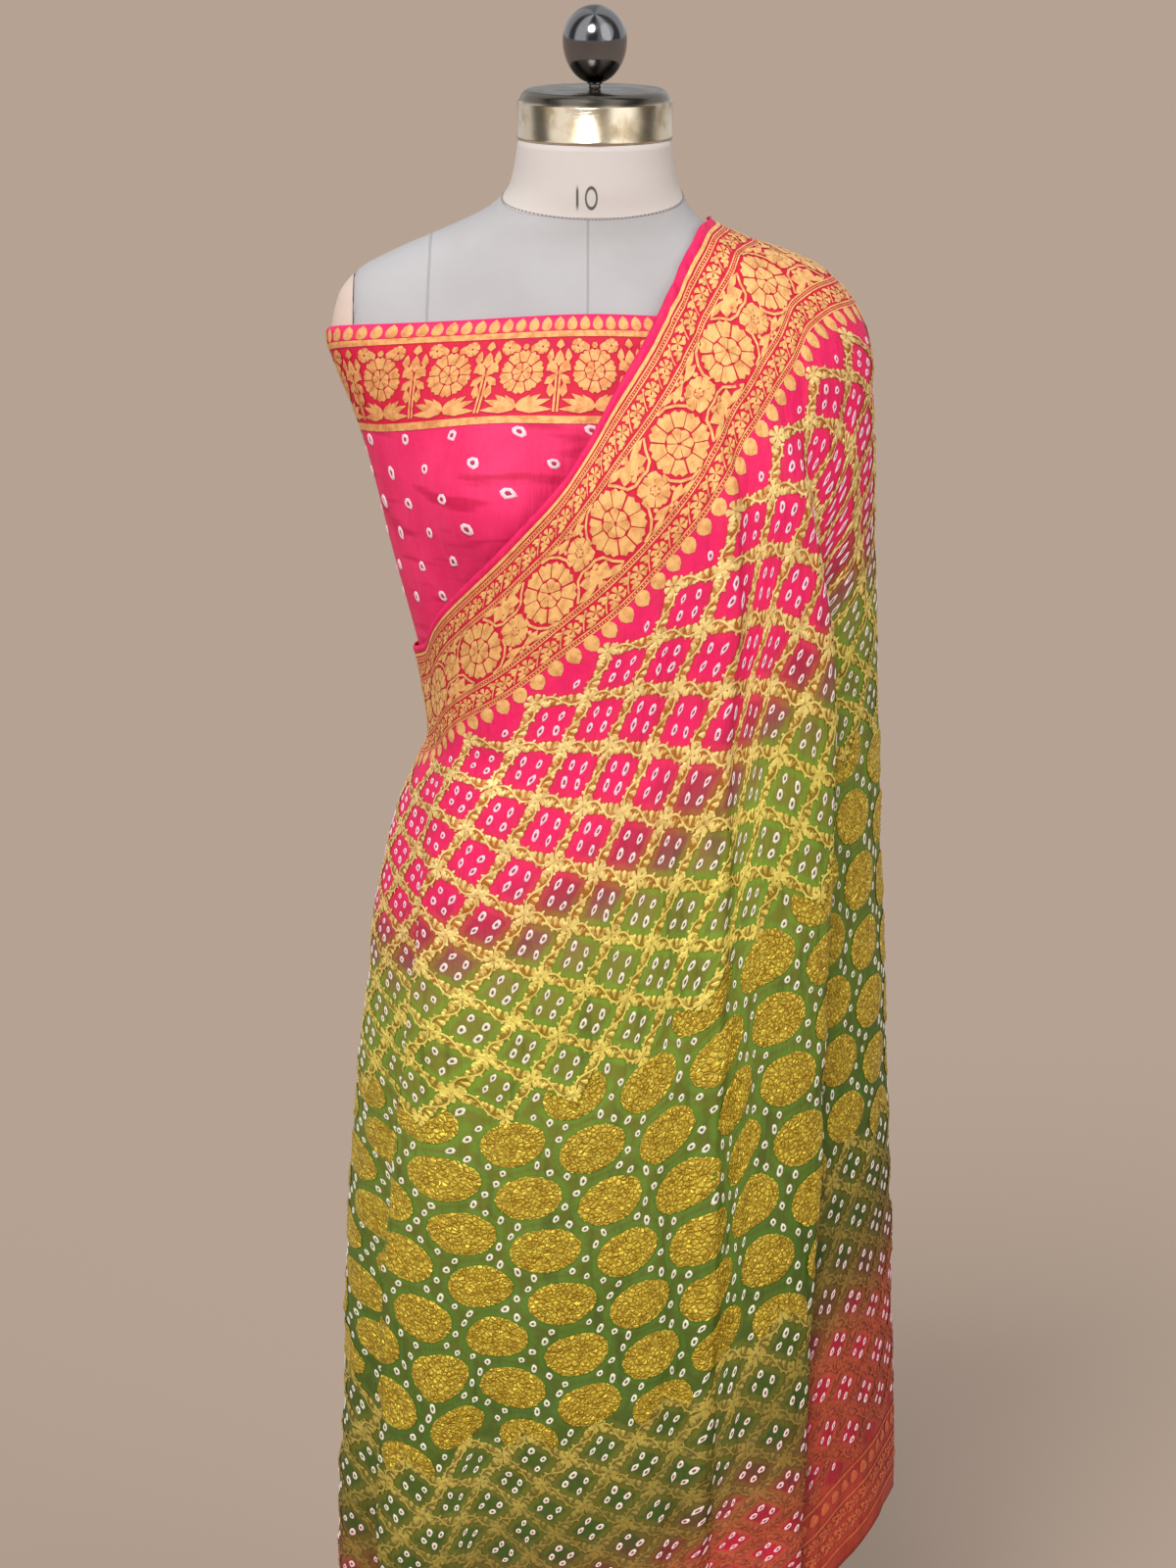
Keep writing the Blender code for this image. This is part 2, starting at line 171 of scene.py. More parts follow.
def paint(shader, **outputs):
    """Links outputs to the shader's sockets, such as base_color and normal."""
    for key, output in outputs.items():
        shader.id_data.links.new(output, shader.inputs[socket_name(key)])


def object_place(tree):
    return add(tree, "ShaderNodeTexCoord").outputs["Object"]


def scaled_place(tree, *scale):
    """The place on the object. A small scale along an axis draws a pattern out along it."""
    return add(tree, "ShaderNodeMapping", {"Vector": object_place(tree), "Scale": scale}).outputs[0]


def attribute(tree, name, output):
    return add(tree, "ShaderNodeAttribute", attribute_name=name).outputs[output]


def flat_place(tree, name="UVMap"):
    """The place on the flat cloth, and in metres how far along it and down from its edge."""
    where = attribute(tree, name, "Vector")
    x, y, _ = split(where)
    return where, x, calc("MULTIPLY", y, -1.0)


print("material helpers ready")

# %% [markdown]
# The floor is a wide plain sheet of the studio's warm grey. It is far larger than the view, so no
# edge of it shows from any side. Polished metal shows whatever stands round it, so the sky has
# soft upright panels, some brighter and some darker than the rest.

# %% Studio
FLOOR_HALF = 60.0
FLOOR_GREY = colour(170, 152, 138)
SKY_LIGHT = 0.48
HORIZON_LOW, HORIZON_HIGH = -0.04, 0.06  # the panels fade in between these heights
PANEL_SOFTNESS = 0.18
WARM = (1.0, 0.985, 0.96)

Panel = namedtuple("Panel", "middle half strength")  # radians round the form, and added light
PANELS = [
    Panel(-0.95, 0.30, 1.7),
    Panel(0.75, 0.22, 1.4),
    Panel(2.4, 0.5, 0.7),
    Panel(-2.3, 0.4, 0.7),
    Panel(-0.12, 0.22, -0.7),
    Panel(1.5, 0.25, -0.7),
    Panel(-1.65, 0.2, -0.7),
]


def link_mesh(name, mesh):
    """A mesh as a new object at the origin."""
    made = bpy.data.objects.new(name, mesh)
    bpy.context.scene.collection.objects.link(made)
    return made


def make_floor():
    mesh = bpy.data.meshes.new("floor")
    r = FLOOR_HALF
    mesh.from_pydata([(-r, -r, 0), (r, -r, 0), (r, r, 0), (-r, r, 0)], [], [(0, 1, 2, 3)])
    matt = {"roughness": 1.0, "specular_ior_level": 0.0, "base_color": FLOOR_GREY}
    mesh.materials.append(new_material("studio_floor", **matt)[0])
    floor = link_mesh("floor", mesh)


def make_sky():
    """An even sky with brighter and darker panels round it, for reflections."""
    world = bpy.data.worlds.new("studio")
    world.use_nodes = True
    bpy.context.scene.world = world
    tree = world.node_tree
    x, y, z = split(add(tree, "ShaderNodeTexCoord").outputs["Generated"])
    turn = calc("ARCTAN2", x, calc("MULTIPLY", y, -1.0))
    lit = 0.0
    for panel in PANELS:
        away = calc("ABSOLUTE", calc("SUBTRACT", turn, panel.middle))
        shown = step(away, panel.half, panel.half + PANEL_SOFTNESS, panel.strength, 0.0)
        lit = calc("ADD", lit, shown)
    height = step(z, HORIZON_LOW, HORIZON_HIGH)
    light = calc("MULTIPLY_ADD", lit, height, 1.0)
    tree.links.new(light, tree.nodes["Background"].inputs["Strength"])
    tree.nodes["Background"].inputs["Color"].default_value = (SKY_LIGHT,) * 3 + (1.0,)


def make_sun(name, strength, spread, azimuth, elevation, tint=(1, 1, 1)):
    """A sun as wide as spread, in degrees. Azimuth 0 is behind the camera, and grows to the right."""
    light = bpy.data.lights.new(name, "SUN")
    light.energy = strength
    light.angle = math.radians(spread)
    light.color = tint
    sun = bpy.data.objects.new(name, light)
    sun.rotation_euler = (math.radians(90 - elevation), 0, math.radians(azimuth))
    bpy.context.scene.collection.objects.link(sun)


make_floor()
make_sky()
make_sun("key_light", strength=2.25, spread=22, azimuth=-14, elevation=38, tint=WARM)
make_sun("fill_light", strength=0.4, spread=50, azimuth=50, elevation=25)
print("studio lit, with", len(PANELS), "panels")

# %% [markdown]
# ## The shapes that the cloth follows
#
# The tables below are the CAD frame's own: the bare form's sections, the outline that the sari
# hangs in, and its pleats and laps. Angles go round the Z axis, with 270 at the front. The same
# functions give the cloth here, only sampled far more finely, so it lies on the CAD solids.

# %% Measures of the form and the cloth
FORM_BOTTOM = 0.600
NECK_TOP = 1.289
BODY_SQUARENESS = 2.3
ARMHOLE_X = 0.1775
BUST_ANGLES = (236.0, 304.0)
BUST_HEIGHT = 1.030
BUST_SWELL = 0.030
BUST_SPREAD_DEG = 21.0
BUST_SPREAD_Z = 0.052
BLOUSE_CLEARANCE = 0.0033
SARI_CLEARANCE = 0.0060
SHOULDER_CLEARANCE = 0.0027
SHOULDER_FROM, SHOULDER_FULL = 1.168, 1.198
EASE = 0.003
BLOUSE_TOP_SIDE, BLOUSE_TOP_FRONT, BLOUSE_TOP_BACK = 1.141, 1.169, 1.115
BLOUSE_BOTTOM = 0.880
DRIFT_SPREAD = 34.0
DRIFT_TOP = 0.95
END_LAP_FROM, END_LAP_FULL, END_LAP_LIFT = 440.0, 456.0, 0.0075

Section = namedtuple("Section", "z left right front back")
BODY = [
    Section(0.600, 0.140, 0.140, 0.088, 0.100),
    Section(0.640, 0.152, 0.152, 0.095, 0.112),
    Section(0.690, 0.152, 0.152, 0.096, 0.112),
    Section(0.745, 0.140, 0.140, 0.093, 0.102),
    Section(0.795, 0.121, 0.121, 0.088, 0.087),
    Section(0.835, 0.112, 0.112, 0.084, 0.078),
    Section(0.880, 0.120, 0.119, 0.087, 0.080),
    Section(0.925, 0.131, 0.129, 0.092, 0.086),
    Section(0.985, 0.147, 0.144, 0.098, 0.096),
    Section(1.035, 0.159, 0.156, 0.098, 0.102),
    Section(1.085, 0.173, 0.169, 0.095, 0.105),
    Section(1.120, 0.187, 0.183, 0.087, 0.103),
    Section(1.145, 0.195, 0.191, 0.080, 0.097),
    Section(1.172, 0.190, 0.180, 0.071, 0.085),
    Section(1.191, 0.176, 0.159, 0.064, 0.074),
    Section(1.2075, 0.146, 0.118, 0.058, 0.065),
    Section(1.2245, 0.106, 0.083, 0.055, 0.060),
    Section(1.2400, 0.076, 0.069, 0.055, 0.058),
    Section(1.2560, 0.0625, 0.0615, 0.0565, 0.0575),
    Section(1.2890, 0.0562, 0.0562, 0.0562, 0.0562),
]
DRAPE = [
    Section(0.040, 0.2000, 0.2220, 0.150, 0.166),
    Section(0.260, 0.1960, 0.2210, 0.146, 0.158),
    Section(0.355, 0.1910, 0.2195, 0.144, 0.154),
    Section(0.459, 0.1880, 0.2175, 0.142, 0.149),
    Section(0.537, 0.1825, 0.2160, 0.140, 0.145),
    Section(0.652, 0.1700, 0.2135, 0.137, 0.138),
    Section(0.728, 0.1600, 0.2120, 0.135, 0.132),
    Section(0.792, 0.1440, 0.2100, 0.132, 0.122),
    Section(0.822, 0.1316, 0.2090, 0.131, 0.116),
    Section(0.845, 0.1220, 0.2085, 0.130, 0.112),
    Section(0.900, 0.1260, 0.2075, 0.131, 0.110),
    Section(0.953, 0.1380, 0.2065, 0.134, 0.110),
    Section(1.023, 0.1600, 0.2050, 0.134, 0.114),
    Section(1.1125, 0.188, 0.2035, 0.108, 0.114),
    Section(1.135, 0.198, 0.2015, 0.098, 0.108),
    Section(1.159, 0.190, 0.1935, 0.085, 0.098),
    Section(1.178, 0.178, 0.1795, 0.074, 0.088),
    Section(1.192, 0.163, 0.1655, 0.067, 0.080),
    Section(1.204, 0.137, 0.1385, 0.060, 0.071),
    Section(1.212, 0.113, 0.1145, 0.057, 0.065),
    Section(1.2265, 0.083, 0.0830, 0.053, 0.060),
]
Rim = namedtuple("Rim", "angle edge hem")
RIM = [
    Rim(98, 0.902, 0.048),
    Rim(140, 0.906, 0.044),
    Rim(180, 0.911, 0.042),
    Rim(201, 0.920, 0.042),
    Rim(211, 0.938, 0.042),
    Rim(228, 0.972, 0.044),
    Rim(238, 0.995, 0.046),
    Rim(250, 1.027, 0.050),
    Rim(260, 1.055, 0.056),
    Rim(268, 1.083, 0.062),
    Rim(279, 1.120, 0.072),
    Rim(293, 1.153, 0.092),
    Rim(311, 1.191, 0.142),
    Rim(323, 1.212, 0.165),
    Rim(337, 1.2255, 0.176),
    Rim(350, 1.2300, 0.212),
    Rim(362, 1.2310, 0.245),
    Rim(378, 1.2240, 0.252),
    Rim(398, 1.2000, 0.235),
    Rim(420, 1.155, 0.190),
    Rim(442, 1.095, 0.125),
    Rim(462, 1.035, 0.075),
    Rim(484, 0.985, 0.055),
]
Lap = namedtuple("Lap", "middle half_span overlap depth start full drift behind_first blend")
LAPS = [
    Lap(329, 9, 17, 0.026, 1.12, 0.84, -19, False, 26),
    Lap(213, 8, 13, 0.018, 0.86, 0.36, 3, True, 30),
]
Pleat = namedtuple("Pleat", "angle width height_top height_hem start lean")
PLEATS = [
    Pleat(322, 4.4, 0.0035, 0.0050, 1.17, -1),
    Pleat(315, 3.8, -0.0035, -0.0050, 1.14, -1),
    Pleat(308, 4.2, 0.0030, 0.0045, 1.08, -1),
    Pleat(299, 5.5, -0.0010, -0.0040, 0.98, -1),
    Pleat(287, 8.0, 0.0, 0.0035, 0.80, -2),
    Pleat(270, 9.0, 0.0, -0.0040, 0.72, -1),
    Pleat(252, 9.0, 0.0, 0.0040, 0.70, 1),
    Pleat(234, 8.0, 0.0, -0.0030, 0.66, 2),
    Pleat(198, 4.0, 0.0, -0.0045, 0.62, 0),
    Pleat(190, 4.5, 0.0, 0.0050, 0.62, 0),
    Pleat(172, 6.5, 0.0, -0.0070, 0.74, 0),
    Pleat(152, 7.5, 0.0, 0.0090, 0.74, 0),
    Pleat(130, 8.0, 0.0, -0.0080, 0.74, 0),
    Pleat(345, 5.0, 0.0030, 0.0050, 1.10, -1),
    Pleat(368, 5.0, 0.0040, 0.0090, 1.16, 0),
    Pleat(382, 6.0, -0.0050, -0.0120, 1.14, 1),
    Pleat(397, 6.0, 0.0050, 0.0120, 1.12, 2),
    Pleat(413, 6.0, -0.0040, -0.0120, 1.06, 3),
    Pleat(429, 6.5, 0.0040, 0.0110, 1.00, 4),
    Pleat(447, 7.0, -0.0030, -0.0100, 0.94, 4),
    Pleat(465, 7.0, 0.0030, 0.0090, 0.90, 3),
]
print("tables ready:", len(BODY), "body sections and", len(PLEATS), "pleats")

# %% [markdown]
# ## Surfaces of the form and the cloth
#
# These functions turn the tables into surfaces. The form is a stack of rounded ovals with a swell
# at each bust point. The sari hangs from its own ovals, carries the pleats and folds back on
# itself at the laps, and it rests on the form wherever it would sink into it.


# %% Reading the tables
def smooth_table(at, knots, values):
    """Smooth values between the knots, with no overshoot past them."""
    knots = np.asarray(knots, float)
    values = np.asarray(values, float)
    gaps = np.diff(knots)
    slopes = np.diff(values) / gaps
    tangents = np.zeros(len(knots))
    rising = slopes[:-1] * slopes[1:] > 0
    harmonic = 2 * slopes[:-1] * slopes[1:] / np.where(rising, slopes[:-1] + slopes[1:], 1)
    tangents[1:-1] = np.where(rising, harmonic, 0.0)
    tangents[0] = slopes[0]
    tangents[-1] = slopes[-1]
    at = np.clip(np.asarray(at, float), knots[0], knots[-1])
    i = np.clip(np.searchsorted(knots, at) - 1, 0, len(gaps) - 1)
    t = (at - knots[i]) / gaps[i]
    return (
        values[i] * (1 + 2 * t) * (1 - t) ** 2
        + tangents[i] * gaps[i] * t * (1 - t) ** 2
        + values[i + 1] * t * t * (3 - 2 * t)
        + tangents[i + 1] * gaps[i] * t * t * (t - 1)
    )


def column(table, name):
    return [getattr(row, name) for row in table]


def ramp(value, start, end):
    """0 at start and 1 at end, easing in and out."""
    t = np.clip((value - start) / (end - start), 0.0, 1.0)
    return t * t * (3 - 2 * t)


print("the sari's edge at the front:", smooth_table(270, column(RIM, "angle"), column(RIM, "edge")))


# %% The form's surface
def section_radius(table, angle, z):
    """Distance from the axis to a section's outline, which is a rounded oval."""
    heights = column(table, "z")
    sides = {name: smooth_table(z, heights, column(table, name)) for name in table[0]._fields[1:]}
    across = np.cos(np.radians(angle))
    along = np.sin(np.radians(angle))
    wide = np.where(across > 0, sides["right"], sides["left"])
    deep = np.where(along > 0, sides["back"], sides["front"])
    power = BODY_SQUARENESS
    return ((np.abs(across) / wide) ** power + (np.abs(along) / deep) ** power) ** (-1 / power)


def body_radius(angle, z):
    swell = 0.0
    for middle in BUST_ANGLES:
        away = (np.mod(angle, 360) - middle) / BUST_SPREAD_DEG
        swell = swell + np.exp(-(away**2) - ((z - BUST_HEIGHT) / BUST_SPREAD_Z) ** 2)
    return section_radius(BODY, angle, z) + BUST_SWELL * swell


def point(angle, radius, z):
    turn = np.radians(angle)
    return np.stack([radius * np.cos(turn), radius * np.sin(turn), z], axis=-1)


def body_column(angle, z, clearance=0.0):
    """Points down the form at one angle, some way off it."""
    angles = np.full_like(z, angle)
    return point(angles, body_radius(angles, z) + clearance, z)


print("front of the form at the bust:", body_column(270.0, np.array([BUST_HEIGHT])).round(4))

# %% The sari's surface
LAP_SWINGS = 1.9  # a lap folds back by this many swings, less the next share of its half span
LAP_SPAN_SHARE = 0.8
LAP_TURN = 0.75  # where the cloth goes behind itself, in half spans from the lap's middle
PLEAT_FOOT = 0.05  # the pleats are deepest at this height
PLEAT_FADE = 0.12


def pleat_height(base, z):
    height = 0.0
    for pleat in PLEATS:
        down = 1 - ramp(z, PLEAT_FOOT, pleat.start)
        middle = pleat.angle + pleat.lean * down
        size = pleat.height_top + (pleat.height_hem - pleat.height_top) * down
        begun = 1 - ramp(z, pleat.start - PLEAT_FADE, pleat.start)
        height = height + size * begun * np.exp(-(((base - middle) / pleat.width) ** 2))
    return height


def sari_point(base, z):
    """The sari's middle surface. base runs along the cloth, and the laps fold it back on itself."""
    angle = base
    sink = 0.0
    for lap in LAPS:
        opened = 1 - ramp(z, lap.full, lap.start)
        along = (base - lap.middle) / lap.half_span
        swing = (lap.overlap + LAP_SPAN_SHARE * lap.half_span) / LAP_SWINGS
        angle = angle - opened * swing * np.sin(np.pi * np.clip(along, -1, 1))
        fallen = np.clip((DRIFT_TOP - z) / DRIFT_TOP, 0, 1)
        angle = angle + lap.drift * fallen * np.exp(-(((base - lap.middle) / DRIFT_SPREAD) ** 2))
        behind = ramp(along, -LAP_TURN, LAP_TURN)
        recovery = ramp(base, lap.middle + lap.half_span, lap.middle + lap.half_span + lap.blend)
        if lap.behind_first:
            start = lap.middle - lap.half_span - lap.blend
            behind = 1 - behind
            recovery = 1 - ramp(base, start, start + lap.blend)
        sink = sink + lap.depth * np.sqrt(opened) * behind * (1 - recovery)
    hanging = section_radius(DRAPE, angle, z) + pleat_height(base, z) - sink
    bare = ramp(z, SHOULDER_FROM, SHOULDER_FULL)
    resting = body_radius(angle, z) + SARI_CLEARANCE + (SHOULDER_CLEARANCE - SARI_CLEARANCE) * bare
    radius = (hanging + resting + np.sqrt((hanging - resting) ** 2 + EASE**2)) / 2
    radius = radius + END_LAP_LIFT * ramp(base, END_LAP_FROM, END_LAP_FULL)
    return point(angle, radius, z)


print("front of the sari at the bust:", sari_point(270.0, BUST_HEIGHT).round(4))


# %% Mesh helpers
def add_mesh(name, verts, faces, finish=None):
    """A new smooth mesh object."""
    mesh = bpy.data.meshes.new(name)
    mesh.from_pydata([tuple(v) for v in verts], [], faces)
    mesh.update()
    if finish:
        mesh.materials.append(finish)
    mesh.shade_smooth()
    return link_mesh(name, mesh)


def grid_faces(columns, rows, closed=False):
    """Quads between neighbouring columns and rows, facing outwards on a form."""
    faces = []
    for i in range(columns if closed else columns - 1):
        a, b = i * rows, (i + 1) % columns * rows
        faces += [(a + j, a + j + 1, b + j + 1, b + j) for j in range(rows - 1)]
    return faces


def settle(piece, slot, *nodes):
    """Rides a finished piece on the part's one body, and hides the CAD nodes that it stands in for."""
    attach(piece, "root")
    if nodes:
        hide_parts(*nodes)
    return piece


print("mesh helpers ready")

# %% [markdown]
# ## The dress form
#
# A dress form is a hard shell under a padded cover of plain linen, cut in panels. The seams run
# down the middle of the front and through the bust, and a round seam sets off the neck. They are
# shallow grooves, so the material draws them from the distance to each seam: grooves in the mesh
# would need a far finer grid. The neck band also carries the form's size, a 10.

# %% Linen
NECK_SEAM, NECK_SEAM_DIP = 1.249, 0.230  # it dips towards the front
SEAM_EDGE = 0.0004
FRONT_SEAM = -0.005
PRINCESS_SEAM, PRINCESS_HEIGHT, PRINCESS_LEAN = -0.123, 1.16, -0.04
NUMBER_HEIGHT = 1.2512
ONE_PLACE, ONE_HALF_TALL, STROKE_HALF = -0.0128, 0.0078, 0.0009
ZERO_PLACE, ZERO_HALF_WIDE, ZERO_HALF_TALL, ZERO_STROKE = -0.0026, 0.0040, 0.0076, 0.17
THREADS = 9000.0  # radians of weave in a metre


def near(value, middle, half):
    """1 where a value lies within half of the middle, with soft ends."""
    away = calc("ABSOLUTE", calc("SUBTRACT", value, middle))
    return step(away, half * 0.6, half * 1.4, 1.0, 0.0)


def linen(name, base, warm):
    """Plain woven cover. Its nodes are returned too, so that seams can be drawn on one of them."""
    made, tree, shader = new_material(name, roughness=0.9, specular_ior_level=0.2)
    where = object_place(tree)
    place = split(where)
    weft = calc("SINE", calc("MULTIPLY", place[2], THREADS))
    warp = calc("SINE", calc("MULTIPLY", place[0], THREADS))
    slub = noise(where, 900.0, 3.0)
    cloud = noise(where, 14.0, 3.0)
    tint = mix(step(cloud, 0.35, 0.7), base, warm)
    tint = mix(calc("MULTIPLY", slub, 0.14), tint, colour(150, 146, 142))
    wrinkle = bump(noise(where, 30.0, 3.0), 0.25, 0.004)
    weave = calc("ADD", calc("MULTIPLY", weft, warp), slub)
    fine = bump(weave, 0.25, 0.0002, wrinkle)
    paint(shader, base_color=tint, normal=fine)
    return made, shader, place, tint, fine


def size_number(x, y, z):
    """The 10 on the front of the neck: a stroke and a ring."""
    one = near(z, NUMBER_HEIGHT, ONE_HALF_TALL)
    one = calc("MULTIPLY", near(x, ONE_PLACE, STROKE_HALF), one)
    wide = calc("DIVIDE", calc("SUBTRACT", x, ZERO_PLACE), ZERO_HALF_WIDE)
    tall = calc("DIVIDE", calc("SUBTRACT", z, NUMBER_HEIGHT), ZERO_HALF_TALL)
    tall = calc("MULTIPLY", tall, tall)
    reach = calc("SQRT", calc("MULTIPLY_ADD", wide, wide, tall))
    ink = calc("MAXIMUM", one, near(reach, 1.0, ZERO_STROKE))
    return calc("MULTIPLY", ink, step(y, -0.02, -0.01, 0.85, 0.0))


def draw_seams(shader, place, tint, fine):
    """Seams, the warmer neck and the size number, from the place on the form."""
    x, y, z = place
    level = calc("MULTIPLY_ADD", calc("MINIMUM", y, 0.0), -NECK_SEAM_DIP, z)
    neck = step(level, NECK_SEAM - SEAM_EDGE, NECK_SEAM + SEAM_EDGE)
    tint = mix(neck, tint, colour(208, 200, 196))
    lean = calc("SUBTRACT", z, PRINCESS_HEIGHT)
    princess = calc("MULTIPLY_ADD", lean, PRINCESS_LEAN, x)
    # The darker line along each seam is partly its own stitched line and partly painted shade in its groove.
    seams = near(x, FRONT_SEAM, 0.0007)
    seams = calc("MAXIMUM", seams, near(princess, PRINCESS_SEAM, 0.0008))
    seams = calc("MULTIPLY", seams, calc("SUBTRACT", 1.0, neck))
    seams = calc("MAXIMUM", seams, near(level, NECK_SEAM, 0.0003))
    tint = mix(calc("MULTIPLY", seams, 0.28), tint, colour(112, 106, 104))
    tint = mix(size_number(x, y, z), tint, colour(44, 40, 44))
    groove = bump(calc("SUBTRACT", 1.0, seams), 0.6, 0.0008, fine)
    paint(shader, base_color=tint, normal=groove)


linen_cover, *cover_nodes = linen("linen_cover_woven", colour(186, 184, 187), colour(179, 177, 179))
draw_seams(*cover_nodes)
arm_canvas = linen("arm_plate_woven", colour(222, 200, 188), colour(212, 186, 172))[0]
print("linen ready")

# %% [markdown]
# The cover is one fine grid over the frame's shell, cut flat at the armholes. A padded oval plate
# closes each armhole. It carries on the form's own curve, so it is made as the same grid, cut at
# the armhole's plane and closed behind.

# %% Torso cover
TORSO_COLUMNS = 180
TORSO_ROWS = 150


def make_torso():
    z = np.linspace(NECK_TOP, FORM_BOTTOM, TORSO_ROWS)
    angles = np.linspace(0, 360, TORSO_COLUMNS, endpoint=False)
    grid = np.array([body_column(angle, z) for angle in angles])
    grid[..., 0] = np.clip(grid[..., 0], -ARMHOLE_X, ARMHOLE_X)
    faces = grid_faces(TORSO_COLUMNS, TORSO_ROWS, closed=True)
    faces.append([i * TORSO_ROWS for i in range(TORSO_COLUMNS)])
    faces.append([(i + 1) * TORSO_ROWS - 1 for i in reversed(range(TORSO_COLUMNS))])
    torso = add_mesh("torso_cover", grid.reshape(-1, 3), faces, linen_cover)
    return settle(torso, "linen_cover", "torso")


torso = make_torso()
print("torso cover:", len(torso.data.polygons), "faces")

# %% Arm plates
PLATE_TOP, PLATE_BOTTOM = 1.200, 1.075
PLATE_HALF_TURN = 34
PLATE_CELLS = 70
PLATE_GAP = 0.0004
SHARP = math.radians(50)


def make_arm_plate(side, name, node):
    """The rounded end of the form beyond its armhole, a hair outside the torso cover."""
    z = np.linspace(PLATE_TOP, PLATE_BOTTOM, PLATE_CELLS)
    angles = (90 - side * 90) + np.linspace(-PLATE_HALF_TURN, PLATE_HALF_TURN, PLATE_CELLS)
    grid = np.array([body_column(angle, z) for angle in angles])
    shell = bmesh.new()
    verts = [shell.verts.new(p) for p in grid.reshape(-1, 3)]
    for face in grid_faces(PLATE_CELLS, PLATE_CELLS):
        shell.faces.new([verts[k] for k in face])
    everything = shell.verts[:] + shell.edges[:] + shell.faces[:]
    plane = {"plane_co": (side * (ARMHOLE_X + PLATE_GAP), 0, 0), "plane_no": (-side, 0, 0)}
    cut = bmesh.ops.bisect_plane(shell, geom=everything, clear_outer=True, **plane)
    rim = [part for part in cut["geom_cut"] if isinstance(part, bmesh.types.BMEdge)]
    bmesh.ops.contextual_create(shell, geom=rim)
    bmesh.ops.recalc_face_normals(shell, faces=shell.faces[:])
    mesh = bpy.data.meshes.new(name)
    shell.to_mesh(mesh)
    shell.free()
    mesh.materials.append(arm_canvas)
    mesh.shade_smooth()
    mesh.set_sharp_from_angle(angle=SHARP)
    return settle(link_mesh(name, mesh), "linen_cover", node)


for side, node in ((-1, "arm_plate_bare"), (1, "arm_plate_draped")):
    plate = make_arm_plate(side, node + "_padded", node)
    print(plate.name, len(plate.data.polygons), "faces")

# %% [markdown]
# The neck seam is the only one whose thread shows. Each stitch is a small raised ridge that stands
# on the cover, and the ring of them follows the seam where it dips towards the front.

# %% Stitches round the neck
STITCHES = 132
STITCH_SHARE = 0.55  # of the way to the next stitch
STITCH_DIP = 0.0132
STITCH_HEIGHT, STITCH_HALF = 0.0011, 0.0005


def make_stitches():
    """A ring of short raised stitches along the neck seam."""
    verts, faces = [], []
    for k in range(STITCHES):
        for end in (0.0, STITCH_SHARE):
            angle = 360 * (k + end) / STITCHES
            front = max(0.0, -math.sin(math.radians(angle)))
            z = NECK_SEAM - STITCH_DIP * front
            for out, up in ((0.0, -STITCH_HALF), (STITCH_HEIGHT, 0.0), (0.0, STITCH_HALF)):
                verts.append(body_column(angle, np.array([z + up]), out)[0])
        a = 6 * k
        faces += [(a, a + 3, a + 4, a + 1), (a + 1, a + 4, a + 5, a + 2)]
        faces += [(a, a + 1, a + 2), (a + 3, a + 5, a + 4)]
    thread = new_material("neck_thread", roughness=0.8, base_color=colour(150, 143, 139))[0]
    return settle(add_mesh("neck_stitches", verts, faces, thread), "linen_cover")


stitches = make_stitches()
print("stitches:", STITCHES)

# %% [markdown]
# ## Cap, stem and knob
#
# The neck is closed by a spun steel cap, worn from handling, and the form is carried by a dark
# chrome knob. Both are turned on a lathe, so each is one outline spun round the axis.


# %% Turned pieces
def turned(name, profile, finish, steps=96):
    """Spins (radius, height) points round the axis. The first and last point lie on it."""
    inner = profile[1:-1]
    turns = np.linspace(0, 2 * math.pi, steps, endpoint=False)
    verts = [(r * math.cos(t), r * math.sin(t), z) for t in turns for r, z in inner]
    count = len(inner)
    faces = []
    for i in range(steps):
        a, b = i * count, (i + 1) % steps * count
        faces += [(a + j, b + j, b + j + 1, a + j + 1) for j in range(count - 1)]
        faces.append((len(verts), b, a))
        faces.append((len(verts) + 1, a + count - 1, b + count - 1))
    verts += [(0, 0, profile[0][1]), (0, 0, profile[-1][1])]
    made = add_mesh(name, verts, faces, finish)
    made.data.set_sharp_from_angle(angle=SHARP)
    return made


print("lathe ready")

# %% [markdown]
# Spun steel keeps fine rings from the tool, so its noise is squeezed along the axis. Hands have
# stained it brown in patches, and its top is painted darker as painted shade. The chrome is smooth,
# with only a few dull patches, and its lower part is painted darker as painted shade.

# %% Metals
CAP_SHADE_FROM, CAP_SHADE_FULL = NECK_TOP + 0.027, NECK_TOP + 0.030
KNOB_SHADE_BELOW, KNOB_UNSHADED_ABOVE = 1.336, 1.350


def brushed_steel():
    made, tree, shader = new_material("worn_spun_steel", metallic=1.0, roughness=0.3)
    where = object_place(tree)
    rings = noise(scaled_place(tree, 1, 1, 60), 60.0, 4.0)
    stain = noise(where, 55.0, 4.0)
    tint = mix(step(stain, 0.42, 0.72), colour(204, 190, 168), colour(164, 146, 116))
    # Painted shade: the top of the cap is painted darker, for the dim reflection that it shows there.
    top = step(split(where)[2], CAP_SHADE_FROM, CAP_SHADE_FULL)
    tint = mix(top, tint, colour(104, 98, 90))
    worn = step(stain, 0.3, 0.75, 0.16, 0.28)
    paint(shader, base_color=tint, roughness=worn, normal=bump(rings, 0.12, 0.0004))
    return made


def dark_chrome():
    made, tree, shader = new_material("dark_chrome", metallic=1.0, roughness=0.08)
    where = object_place(tree)
    tint = mix(noise(where, 40.0, 3.0), colour(108, 108, 112), colour(142, 142, 146))
    # Painted shade: the lower part of the knob is painted darker, for the dim reflection that it shows there.
    low = step(split(where)[2], KNOB_SHADE_BELOW, KNOB_UNSHADED_ABOVE, 1.0, 0.0)
    tint = mix(low, tint, colour(84, 78, 72))
    dull = step(noise(where, 90.0, 3.0), 0.3, 0.8, 0.05, 0.2)
    paint(shader, base_color=tint, roughness=dull)
    return made


steel = brushed_steel()
chrome = dark_chrome()
print("metals ready")

